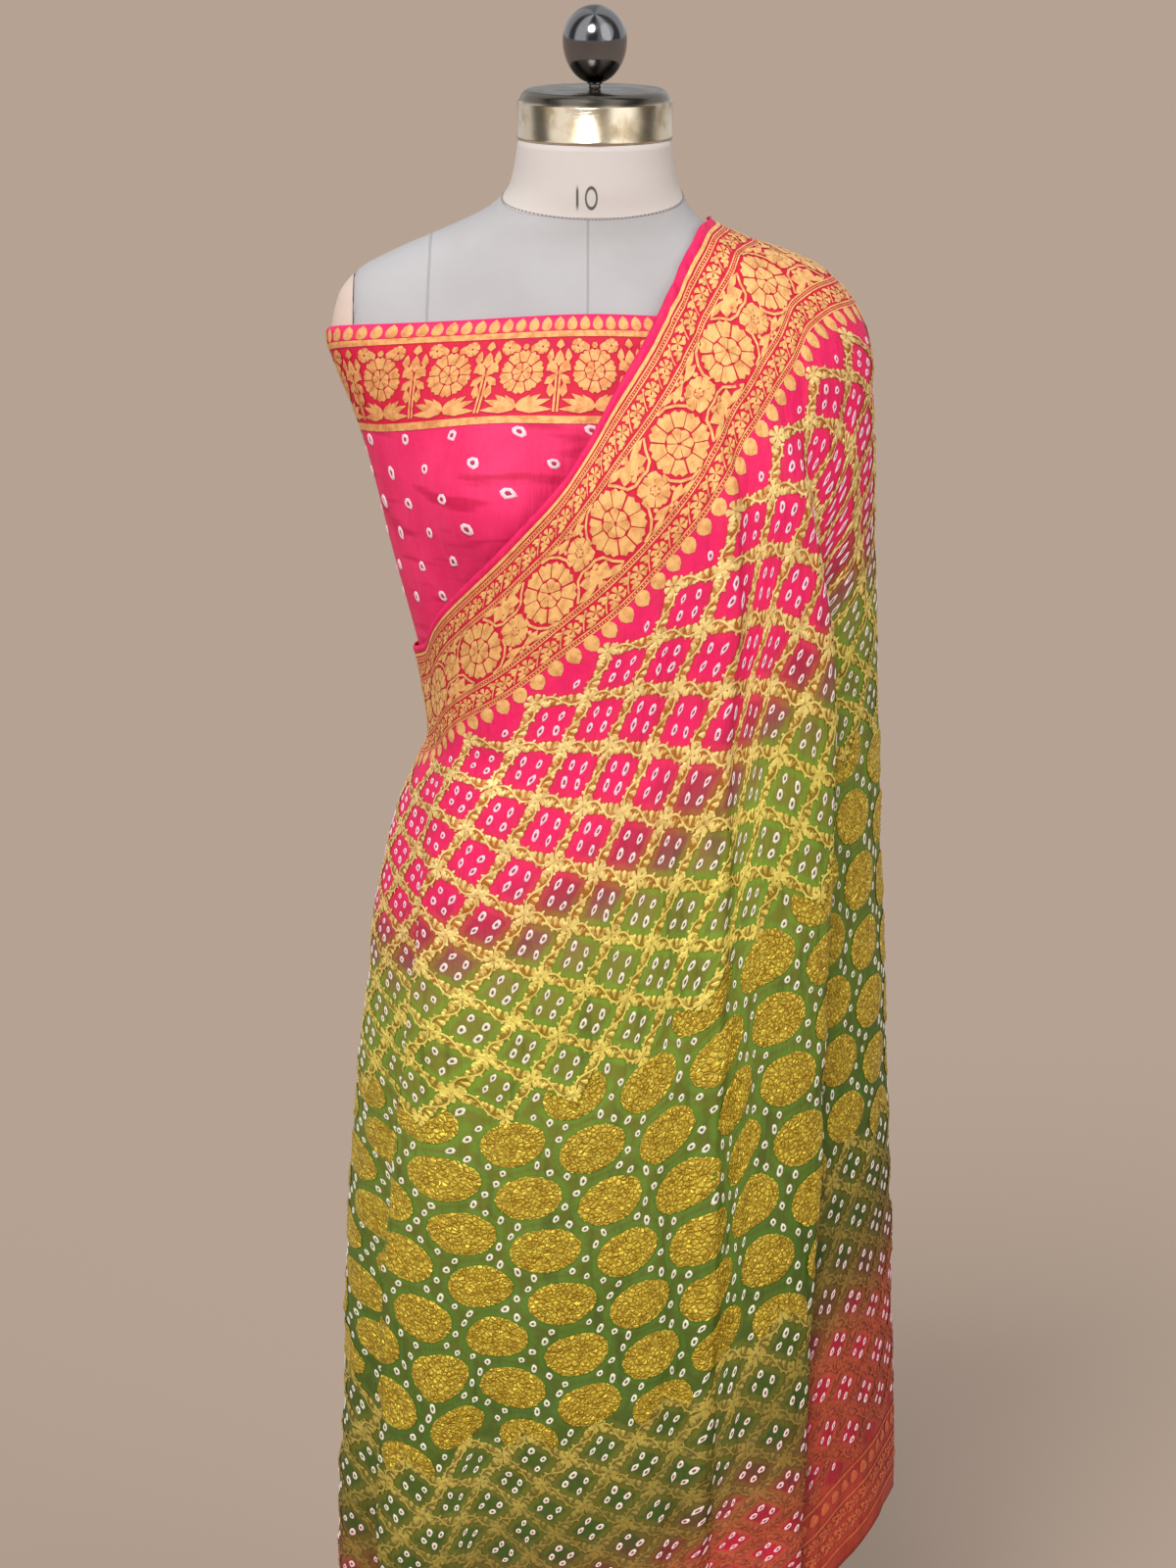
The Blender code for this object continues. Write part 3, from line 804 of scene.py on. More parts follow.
# %% Neck cap
TOUCH_GAP = 0.0003
CAP_RADIUS, CAP_BAND, CAP_BEVEL, CAP_TOP = 0.0576, 0.028, 0.0078, 0.0500

cap_low = NECK_TOP + TOUCH_GAP
band_top = cap_low + CAP_BAND
cap_high = band_top + CAP_BEVEL
cap_profile = [
    (0, cap_low),
    (CAP_RADIUS - 0.0010, cap_low),
    (CAP_RADIUS - 0.0003, cap_low + 0.0003),
    (CAP_RADIUS, cap_low + 0.0010),
    (CAP_RADIUS, cap_low + 0.0024),
    (CAP_RADIUS - 0.0005, cap_low + 0.0029),
    (CAP_RADIUS - 0.0005, band_top - 0.0012),
    (CAP_RADIUS - 0.0009, band_top - 0.0003),
    (CAP_RADIUS - 0.0020, band_top + 0.0006),
    (CAP_TOP + 0.0040, cap_high - 0.0035),
    (CAP_TOP + 0.0022, cap_high - 0.0014),
    (CAP_TOP, cap_high - 0.0002),
    (CAP_TOP - 0.002, cap_high),
    (0, cap_high),
]
settle(turned("neck_cap_spun", cap_profile, steel, steps=128), "worn_steel", "neck_cap")
print("cap up to", round(cap_high, 4), "m")

# %% Stem and knob
STEM_RADIUS, STEM_HEIGHT, STEM_BEVEL = 0.0045, 0.0035, 0.0004
KNOB_RADIUS, KNOB_HEIGHT, KNOB_WAIST = 0.0238, 0.0580, 0.45
KNOB_FOOT = 0.0060

foot = cap_high + TOUCH_GAP
stem_profile = [
    (0, foot),
    (STEM_RADIUS - STEM_BEVEL, foot),
    (STEM_RADIUS, foot + STEM_BEVEL),
    (STEM_RADIUS, foot + STEM_HEIGHT - STEM_BEVEL),
    (STEM_RADIUS - STEM_BEVEL, foot + STEM_HEIGHT),
    (0, foot + STEM_HEIGHT),
]
settle(turned("knob_stem_turned", stem_profile, steel, steps=32), "worn_steel", "knob_stem")
knob_low = foot + STEM_HEIGHT + TOUCH_GAP
widest = knob_low + KNOB_HEIGHT * (1 - KNOB_WAIST)
knob_profile = [(0, knob_low), (KNOB_FOOT, knob_low)]
for degrees in range(-76, 90, 4):
    turn = math.radians(degrees)
    reach = KNOB_HEIGHT * (KNOB_WAIST if degrees > 0 else 1 - KNOB_WAIST)
    knob_profile.append((KNOB_RADIUS * math.cos(turn), widest + reach * math.sin(turn)))
knob_profile.append((0, knob_low + KNOB_HEIGHT))
settle(turned("knob_polished", knob_profile, chrome), "chrome", "knob")
print("knob up to", round(knob_low + KNOB_HEIGHT, 4), "m")

# %% [markdown]
# The pole and the base plate are hidden by the skirt from most sides. They keep the frame's own
# shapes, with a painted plate and the cap's steel on the pole.


# %% Stand
def speckled_paint():
    made, tree, shader = new_material("base_paint_speckled", roughness=0.55)
    where = object_place(tree)
    speck = step(noise(where, 1500.0, 2.0), 0.55, 0.7)
    tint = mix(speck, colour(44, 44, 47), colour(70, 70, 74))
    orange_peel = bump(noise(where, 1200.0, 2.0), 0.4, 0.0003)
    paint(shader, base_color=tint, normal=orange_peel)
    return made


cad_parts["base_plate"].material_slots[0].material = speckled_paint()
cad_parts["pole"].material_slots[0].material = steel
print("stand finished")

# %% [markdown]
# ## The sari as a flat cloth
#
# A sari is woven flat, and everything on it keeps its place on the flat cloth however it hangs.
# So the draped sheet carries its flat coordinates, in metres: how far along the cloth, and how
# far below the bordered edge. The table says at which height, in millimetres, each line of the
# woven pattern hangs for some angles round the form, and the sheet's rows follow those lines. The
# slips say how far the cloth has slid along each line, because it is pulled up over the shoulder.

# %% Where the flat cloth hangs
FLAT_WIDTH = 0.975  # from the bordered edge to the hem, as it hangs
LINES = (0.0, 0.104, 0.160, 0.265, 0.373, 0.500, 0.622, 0.730, 0.860, FLAT_WIDTH)
PLUMB = 268.0  # the angle that every row is first hung from
# For an angle round the form, the heights of the eight inner lines, and the slips of all ten.
Hang = namedtuple("Hang", "angle heights slips")
HANGS = [
    Hang(98, (811, 762, 670, 575, 464, 357, 263, 149), (140, 106, 90, 78, 66, 36, 6, -20, -30, -30)),
    Hang(140, (815, 765, 672, 576, 464, 356, 261, 146), (150, 104, 82, 64, 45, 8, -27, -54, -65, -65)),
    Hang(180, (820, 770, 676, 578, 464, 355, 259, 143), (158, 101, 73, 50, 23, -21, -59, -88, -100, -100)),
    Hang(200, (832, 780, 682, 580, 462, 345, 248, 138), (161, 98, 68, 42, 12, -36, -75, -105, -118, -118)),
    Hang(220, (859, 804, 687, 572, 442, 308, 211, 122), (159, 95, 63, 34, 0, -51, -91, -122, -136, -136)),
    Hang(240, (883, 825, 699, 579, 452, 339, 247, 140), (155, 88, 57, 24, -16, -53, -92, -127, -142, -142)),
    Hang(260, (918, 854, 723, 596, 461, 340, 245, 145), (153, 76, 48, 17, -16, -56, -88, -115, -137, -137)),
    Hang(278, (950, 889, 751, 616, 476, 353, 252, 156), (154, 67, 38, 12, -19, -60, -88, -115, -134, -134)),
    Hang(298, (1005, 933, 788, 654, 501, 370, 267, 177), (153, 52, 26, 4, -22, -60, -87, -114, -134, -134)),
    Hang(314, (1063, 981, 830, 693, 526, 390, 283, 212), (148, 36, 8, -8, -36, -71, -93, -120, -138, -138)),
    Hang(322, (1093, 1027, 889, 737, 583, 429, 312, 216), (146, 31, 1, -12, -42, -70, -96, -119, -138, -138)),
    Hang(332, (1123, 1056, 939, 780, 636, 484, 362, 235), (143, 30, -6, -1, -40, -66, -88, -105, -132, -151)),
    Hang(340, (1148, 1076, 951, 816, 665, 524, 402, 273), (140, 33, -7, 10, -38, -67, -79, -94, -124, -147)),
    Hang(350, (1159, 1099, 962, 839, 682, 543, 435, 313), (137, 38, -3, 5, -34, -55, -71, -91, -118, -143)),
    Hang(378, (1151, 1096, 975, 858, 715, 578, 475, 355), (125, 40, 5, 5, -30, -45, -60, -75, -100, -120)),
    Hang(398, (1104, 1048, 943, 836, 709, 587, 479, 350), (112, 45, 20, 10, -20, -35, -48, -60, -80, -95)),
    Hang(420, (1054, 998, 894, 787, 661, 540, 433, 304), (98, 50, 32, 20, -5, -20, -30, -42, -58, -70)),
    Hang(442, (994, 938, 833, 725, 599, 477, 369, 240), (85, 55, 42, 32, 10, 0, -10, -20, -35, -45)),
    Hang(462, (937, 882, 778, 671, 545, 424, 317, 188), (72, 58, 52, 42, 26, 16, 8, -2, -14, -22)),
    Hang(484, (890, 836, 736, 632, 510, 393, 290, 165), (60, 60, 60, 54, 42, 34, 26, 16, 6, 0)),
]
Stretch = namedtuple("Stretch", "start end columns")
STRETCHES = [
    Stretch(98, 184, 36),
    Stretch(184, 224, 36),
    Stretch(224, 296, 78),
    Stretch(296, 342, 64),
    Stretch(342, 484, 70),
]
SELVEDGE, SELVEDGE_ROWS = 0.006, 5
SARI_ROWS = 160
PROFILE_SAMPLES = 500


def sari_rows():
    """Distances below the edge of the sheet's rows, finer at the rolled selvedge."""
    fine = np.linspace(0, SELVEDGE, SELVEDGE_ROWS, endpoint=False)
    return np.concatenate([fine, np.linspace(SELVEDGE, FLAT_WIDTH, SARI_ROWS - SELVEDGE_ROWS)])


def hung_lines(bases, name):
    """A measure of the pattern's lines at every angle, in metres."""
    lines = np.array(column(HANGS, name)).T / 1000
    return np.stack([smooth_table(bases, column(HANGS, "angle"), line) for line in lines], axis=1)


def hang_sari():
    """Points of the draped sheet, the flat place of each one, and the angle of each column."""
    bases = [np.linspace(s.start, s.end, s.columns, endpoint=False) for s in STRETCHES]
    bases = np.concatenate(bases + [[STRETCHES[-1].end]])
    down = sari_rows()
    angles = column(RIM, "angle")
    edge, hem = (smooth_table(bases, angles, column(RIM, side)) for side in ("edge", "hem"))
    heights = np.concatenate([edge[:, None], hung_lines(bases, "heights"), hem[:, None]], axis=1)
    columns = []
    for base, line_heights in zip(bases, heights):
        fall = line_heights[-1] - line_heights[0]
        z = line_heights[0] + fall * np.linspace(0, 1, PROFILE_SAMPLES) ** 2
        profile = sari_point(np.full_like(z, base), z)
        along = np.concatenate([[0], np.cumsum(np.linalg.norm(np.diff(profile, axis=0), axis=1))])
        at_lines = np.interp(-line_heights, -z, along)
        at_rows = smooth_table(down, LINES, at_lines)
        z_rows = np.interp(at_rows, along, z)
        columns.append(sari_point(np.full_like(z_rows, base), z_rows))
    grid = np.array(columns)
    steps = np.linalg.norm(np.diff(grid, axis=0), axis=2)
    along = np.concatenate([np.zeros((1, len(down))), np.cumsum(steps, axis=0)])
    for row in range(len(down)):
        along[:, row] -= np.interp(PLUMB, bases, along[:, row])
    along += [smooth_table(down, LINES, slip) for slip in hung_lines(bases, "slips")]
    flat = np.stack([along, np.broadcast_to(-down, along.shape)], axis=-1)
    return grid, flat, bases


sari_grid, sari_flat, sari_bases = hang_sari()
print("sari: along the cloth from", *(end(sari_flat[..., 0]).round(3) for end in (np.min, np.max)))

# %% [markdown]
# ## The dyes
#
# The silk is tied and dipped in turn: pink at the bordered edge, green in the middle, red at the
# hem. Where two baths meet the colours mix to a brownish purple, on an uneven line. Wax and thread
# also keep each colour back from the gold, so a diamond is brownest in its middle and greener
# beside the gold. The material works out both from the flat place of each point.

# %% Dyes down the cloth
FIELD_TOP = 0.1130  # where the gold lattice begins, under the border's drops
HALF_WIDE = 0.0270  # half of a diamond, along the cloth
HALF_TALL = 0.0217  # half of a diamond, across the cloth
GRID_ROWS = 12
GRID_BOTTOM = FIELD_TOP + GRID_ROWS * HALF_TALL
LOWER_TOP = 0.6217
MEDALLION_DROP = 0.0420  # from one medallion to the next down a column
MEDALLION_HALF = (24.0, 16.6)  # millimetres

# The dyes down the cloth, as (metres below the edge, red, green, blue).
CELLS = [(0.0, 238, 28, 100), (0.215, 238, 30, 98), (0.238, 186, 42, 72), (0.262, 146, 78, 74)]
CELLS += [(0.288, 134, 130, 50), (0.335, 122, 126, 40), (0.42, 104, 112, 34), (0.60, 74, 92, 26)]
CELLS += [(0.70, 58, 78, 22), (0.728, 104, 56, 38), (0.762, 158, 34, 50), (0.80, 188, 26, 50)]
CELLS += [(0.88, 162, 34, 48), (0.90, 164, 48, 42), (0.975, 168, 56, 42)]
# The halos low in the green are partly dyed darker and partly painted darker as painted shade, for light that
# falls off down the form.
HALOS = [(0.0, 236, 34, 98), (0.225, 232, 42, 90), (0.250, 172, 88, 56), (0.28, 126, 146, 44)]
HALOS += [(0.335, 120, 150, 44), (0.42, 102, 130, 42), (0.60, 72, 104, 30), (0.64, 100, 102, 30)]
HALOS += [(0.70, 92, 88, 26), (0.735, 120, 80, 36), (0.77, 172, 82, 52), (0.82, 180, 76, 52)]
HALOS += [(0.90, 172, 60, 46), (0.975, 172, 62, 44)]


def colour_bands(value, bands):
    """A colour that changes down the cloth. value is the share of its width below the edge."""
    node = add(tree_of(value), "ShaderNodeValToRGB", {0: value})
    stops = node.color_ramp.elements
    while len(stops) < len(bands):
        stops.new(0.5)
    for stop, (place, *rgb) in zip(stops, bands):
        stop.position = place / FLAT_WIDTH
        stop.color = colour(*rgb)
    return node.outputs[0]


def bath_depth(x, down):
    """How far down the cloth each dye reaches. The last bath was dipped less deep on the left."""
    tilted = step(x, -0.30, 0.10, -0.045, 0.0)
    later = calc("MULTIPLY", tilted, step(down, 0.60, 0.72))
    return calc("ADD", down, later)


print("dyes:", len(CELLS), "in the diamonds and", len(HALOS), "beside the gold")

# %% [markdown]
# The dye line follows the ties. A folded distance gives how far a point is from the lattice and
# from the nearest medallion, without storing where any of them is.


# %% Distance from the gold
def lattice_inside(x, down, fuzz):
    """1 in the middle of a diamond of the lattice and 0 beside its edges."""
    lower = calc("GREATER_THAN", down, 0.500)
    top = calc("MULTIPLY_ADD", lower, LOWER_TOP - FIELD_TOP, FIELD_TOP)
    i = calc("DIVIDE", calc("ADD", x, HALF_WIDE), HALF_WIDE)
    j = calc("DIVIDE", calc("SUBTRACT", down, top), HALF_TALL)
    one, other = (
        calc("PINGPONG", calc("DIVIDE", calc(way, i, j), 2.0), 0.5)
        for way in ("ADD", "SUBTRACT")
    )
    away = calc("MULTIPLY_ADD", lower, -0.015, calc("MINIMUM", one, other))
    return step(calc("ADD", away, fuzz), 0.16, 0.27)


def medallion_outside(x, down, fuzz):
    """0 on and close round a medallion, and 1 between medallions."""
    i = calc("DIVIDE", calc("ADD", x, HALF_WIDE), 2 * HALF_WIDE)
    j = calc("DIVIDE", calc("SUBTRACT", down, GRID_BOTTOM), MEDALLION_DROP)
    across, along = calc("PINGPONG", i, 1.0), calc("PINGPONG", j, 0.5)
    wide = 2 * HALF_WIDE / MEDALLION_HALF[0] * 1000
    tall = MEDALLION_DROP / MEDALLION_HALF[1] * 1000
    reaches = []
    next_one = calc("SUBTRACT", 1.0, across), calc("SUBTRACT", 0.5, along)
    for a, b in ((across, along), next_one):
        a, b = calc("MULTIPLY", a, wide), calc("MULTIPLY", b, tall)
        reaches.append(calc("SQRT", calc("MULTIPLY_ADD", a, a, calc("MULTIPLY", b, b))))
    reach = calc("ADD", calc("MINIMUM", *reaches), calc("MULTIPLY", fuzz, 2.0))
    return step(reach, 1.10, 1.32)


def away_from_gold(where, x, down):
    """0 close to the gold and 1 away from it, with a rough edge."""
    fuzz = calc("MULTIPLY_ADD", noise(where, 240.0, 3.0), 0.16, -0.08)
    begun = step(down, GRID_BOTTOM - 0.004, GRID_BOTTOM + 0.004)
    ended = step(down, LOWER_TOP - 0.008, LOWER_TOP, 1.0, 0.0)
    medallions = calc("MULTIPLY", begun, ended)
    lattice = lattice_inside(x, down, fuzz)
    change = calc("SUBTRACT", medallion_outside(x, down, fuzz), lattice)
    return calc("MULTIPLY_ADD", medallions, change, lattice)


print("a diamond is", 2 * HALF_WIDE, "by", 2 * HALF_TALL, "m")

# %% [markdown]
# Crepe silk is crinkled all over. Fine crumples come from the weave, so they follow the flat
# cloth. The longer creases come from how it hangs, so they follow the object, and are drawn out
# upright.

# %% Silk
SILK = {"roughness": 0.6, "specular_ior_level": 0.25}
BORDER_FROM, BORDER_TO = 0.006, 0.096  # where the sari's ground is woven deep pink
BLOUSE_BORDER_FROM, BLOUSE_BORDER_TO = 0.011, 0.0795


def hung_noise(tree):
    """Noise drawn out upright, as the crinkled silk creases where it hangs by its own weight."""
    return noise(scaled_place(tree, 1.0, 1.0, 0.14), 75.0, 3.0, 0.6)


def creases(tree, strength):
    return bump(hung_noise(tree), strength, 0.005)


def silk_surface(tree, where, crease=1.0):
    """The crinkle and the fine uneven weave of crepe silk, as bumps."""
    crumple = noise(where, 85.0, 4.0, 0.6)
    fold = bump(crumple, 0.45 * crease, 0.0022, creases(tree, 0.8 * crease))
    fine = calc("ADD", noise(where, 1300.0, 2.0), wave(where, 520.0, 2.0))
    return bump(fine, 0.22, 0.0003, fold)


def woven_band(down, start, end, soft):
    """1 between two distances below the edge, as far as the brocade ground goes."""
    ended = step(down, end - 0.0005, end + 0.0005, 1.0, 0.0)
    return calc("MULTIPLY", ended, step(down, start - soft, start + soft))


def dyed_silk():
    made, tree, shader = new_material("dyed_silk", **SILK)
    where, x, down = flat_place(tree)
    drift = calc("MULTIPLY_ADD", noise(where, 13.0, 4.0), 0.05, -0.025)
    share = calc("DIVIDE", calc("ADD", bath_depth(x, down), drift), FLAT_WIDTH)
    inside = away_from_gold(where, x, down)
    tint = mix(inside, colour_bands(share, HALOS), colour_bands(share, CELLS))
    cloud = step(noise(where, 45.0, 4.0), 0.3, 0.75)
    tint = mix(calc("MULTIPLY", cloud, 0.16), tint, colour(60, 40, 30))
    # Painted shade: below the pink, the cloth is painted darker in the troughs of the hanging creases that
    # the bump draws from the same noise.
    crease_shade = step(hung_noise(tree), 0.30, 0.48, 0.34, 0.0)
    crease_shade = calc("MULTIPLY", crease_shade, step(down, 0.20, 0.30))
    tint = mix(crease_shade, tint, colour(34, 46, 16))
    brocade = woven_band(down, BORDER_FROM, BORDER_TO, 0.0005)
    tint = mix(brocade, tint, colour(212, 26, 62))
    paint(shader, base_color=tint, normal=silk_surface(tree, where))
    return made


def pink_silk():
    made, tree, shader = new_material("blouse_silk", **SILK)
    where, _, down = flat_place(tree)
    cloud = step(noise(where, 30.0, 4.0), 0.3, 0.75)
    tint = mix(cloud, colour(240, 50, 110), colour(230, 38, 98))
    brocade = woven_band(down, BLOUSE_BORDER_FROM, BLOUSE_BORDER_TO, 0.001)
    tint = mix(brocade, tint, colour(214, 28, 64))
    # Painted shade: darker streaks drawn out sideways, for the shade in the pull wrinkles across the blouse.
    pull_wrinkle_shade = noise(scaled_place(tree, 0.16, 0.16, 1.0), 85.0, 2.0)
    tint = mix(step(pull_wrinkle_shade, 0.28, 0.44), colour(204, 24, 78), tint)
    paint(shader, base_color=tint, normal=silk_surface(tree, where, 0.6))
    return made


sari_cloth = dyed_silk()
blouse_cloth = pink_silk()
print("silk dyed")

# %% [markdown]
# ## The sari as it hangs
#
# The silk is crinkled by the tying, so the sheet gets small soft dents of its own, and fine
# gathers where it is drawn up to the shoulder. They only lift the cloth, and so never push it into
# the form. The sheet keeps its normals, because the figures are laid on it before it is thickened.

# %% Sari sheet
BORDER_END, FIELD_START = 0.090, 0.120  # the border is stiffer, and crinkles less
BORDER_SHARE = 0.35
SLANT = (0.62, 0.78)
ROLL = 0.0009
LIFT = 0.0014
KNOTS = 64


def outward_normals(grid):
    """Unit normals of a grid of points, from its neighbours."""
    across = np.gradient(grid, axis=0)
    down = np.gradient(grid, axis=1)
    normal = np.cross(down, across)
    return normal / np.linalg.norm(normal, axis=-1, keepdims=True)


def rough(x, y, pitch, seed):
    """Smooth random height from -1 to 1 over flat cloth, with humps about a pitch apart."""
    knots = np.random.default_rng(seed).uniform(-1, 1, (KNOTS, KNOTS))
    i, j = np.floor(x / pitch).astype(int), np.floor(y / pitch).astype(int)
    s, t = x / pitch - i, y / pitch - j
    s, t = s * s * (3 - 2 * s), t * t * (3 - 2 * t)

    def knot(a, b):
        return knots[a % KNOTS, b % KNOTS]

    upper = knot(i, j) * (1 - s) + knot(i + 1, j) * s
    lower = knot(i, j + 1) * (1 - s) + knot(i + 1, j + 1) * s
    return upper * (1 - t) + lower * t


def crinkle(flat):
    """The lift of the sheet: soft humps, slanting tucks, and the roll of its selvedge."""
    x, y = flat[..., 0], flat[..., 1]
    a, b = SLANT
    body = ramp(-y, BORDER_END, FIELD_START)
    foil = ramp(-y, 0.352, 0.40) * (1 - ramp(-y, 0.64, 0.72))
    slant = rough(a * x - b * y, 0.2 * (b * x + a * y), 0.012, 3)
    height = 0.0009 * rough(x, y, 0.038, 1) + 0.0005 * rough(x, y, 0.017, 2) * body
    height = height + (0.0008 * body + 0.0006 * foil) * slant
    rolled = ROLL * np.sin(np.pi * np.clip(-y / SELVEDGE, 0, 1))
    return LIFT + height * (BORDER_SHARE + (1 - BORDER_SHARE) * body) + rolled


def gathers(bases, z):
    """Fine upright folds, deepest where the cloth is drawn up to the shoulder."""
    drawn_up = ramp(bases, 280, 310) * (1 - ramp(bases, 345, 370))
    shown = ramp(bases, 184, 200) * (1 - ramp(bases, 340, 352))
    size = (0.0004 + 0.0011 * drawn_up) * shown
    return size[:, None] * rough(bases[:, None], 9.0 * z, 2.6, 4)


def cloth_sheet(name, grid, flat, finish):
    """A draped sheet with its flat places as UVMap, and its normals kept for what lies on it."""
    columns, rows = grid.shape[:2]
    made = add_mesh(name, grid.reshape(-1, 3), grid_faces(columns, rows), finish)
    mesh = made.data
    corners = np.empty(len(mesh.loops), np.int32)
    mesh.loops.foreach_get("vertex_index", corners)
    uv = mesh.uv_layers.new(name="UVMap")
    uv.data.foreach_set("uv", flat.reshape(-1, 2)[corners].astype(np.float32).ravel())
    outward = mesh.attributes.new("outward", "FLOAT_VECTOR", "POINT")
    outward.data.foreach_set("vector", outward_normals(grid).astype(np.float32).ravel())
    return made


lift = crinkle(sari_flat) + gathers(sari_bases, sari_grid[..., 2])
sari_grid = sari_grid + outward_normals(sari_grid) * lift[..., None]
sari = cloth_sheet("sari_silk", sari_grid, sari_flat, sari_cloth)
print("sari sheet:", len(sari.data.polygons), "faces")

# %% [markdown]
# ## The blouse cloth
#
# The blouse length is cut from the same silk and has its own border. It is wrapped once round the
# bust with the border up, and its ends lap at the back, where it is pinned.

# %% Blouse sheet
BLOUSE_START = 112.0
BLOUSE_TURN = 371.0
BLOUSE_COLUMNS, BLOUSE_ROWS = 260, 64
BLOUSE_LAP = 0.0026  # the lapped end lies on the other one
MEASURED_ROW = BLOUSE_ROWS // 6


def blouse_top(angle):
    front = -math.sin(math.radians(angle))
    end = BLOUSE_TOP_FRONT if front > 0 else BLOUSE_TOP_BACK
    return BLOUSE_TOP_SIDE + (end - BLOUSE_TOP_SIDE) * abs(front) ** 0.4


def wrap_blouse():
    """Points of the wrapped sheet, and the flat place of each one."""
    angles = BLOUSE_START + np.linspace(0, BLOUSE_TURN, BLOUSE_COLUMNS)
    columns = []
    for angle in angles:
        z = np.linspace(blouse_top(angle), BLOUSE_BOTTOM, BLOUSE_ROWS)
        lapped = BLOUSE_LAP * ramp(angle, BLOUSE_START + 352, BLOUSE_START + 360)
        columns.append(body_column(angle, z, BLOUSE_CLEARANCE + lapped))
    grid = np.array(columns)
    middle = np.linalg.norm(np.diff(grid[:, MEASURED_ROW], axis=0), axis=1)
    along = np.concatenate([[0], np.cumsum(middle)])
    along -= np.interp(270.0, angles, along)
    steps = np.cumsum(np.linalg.norm(np.diff(grid, axis=1), axis=2), axis=1)
    down = np.concatenate([np.zeros((BLOUSE_COLUMNS, 1)), steps], axis=1)
    flat = np.stack([np.broadcast_to(along[:, None], down.shape), -down], axis=-1)
    return grid, flat


blouse_grid, blouse_flat = wrap_blouse()
blouse = cloth_sheet("blouse_silk_length", blouse_grid, blouse_flat, blouse_cloth)
print("blouse sheet:", len(blouse.data.polygons), "faces")

# %% [markdown]
# ## Woven figures
#
# The gold figures are woven into the silk with metal thread, and stand a little above it. Each is
# drawn once, flat and in millimetres, from a few leaves, petals, berries and stems. The middles are
# raised, so that light picks them out, and a tone from 0 to 1 paints light and shade on the thread.


# %% Drawing one figure
GROUND = 2.0  # the tone that shows the ground's colour instead of gold
EDGE_HEIGHTS = {"height": 0.26, "low": 0.22}  # an edge lies under the shape that it goes round


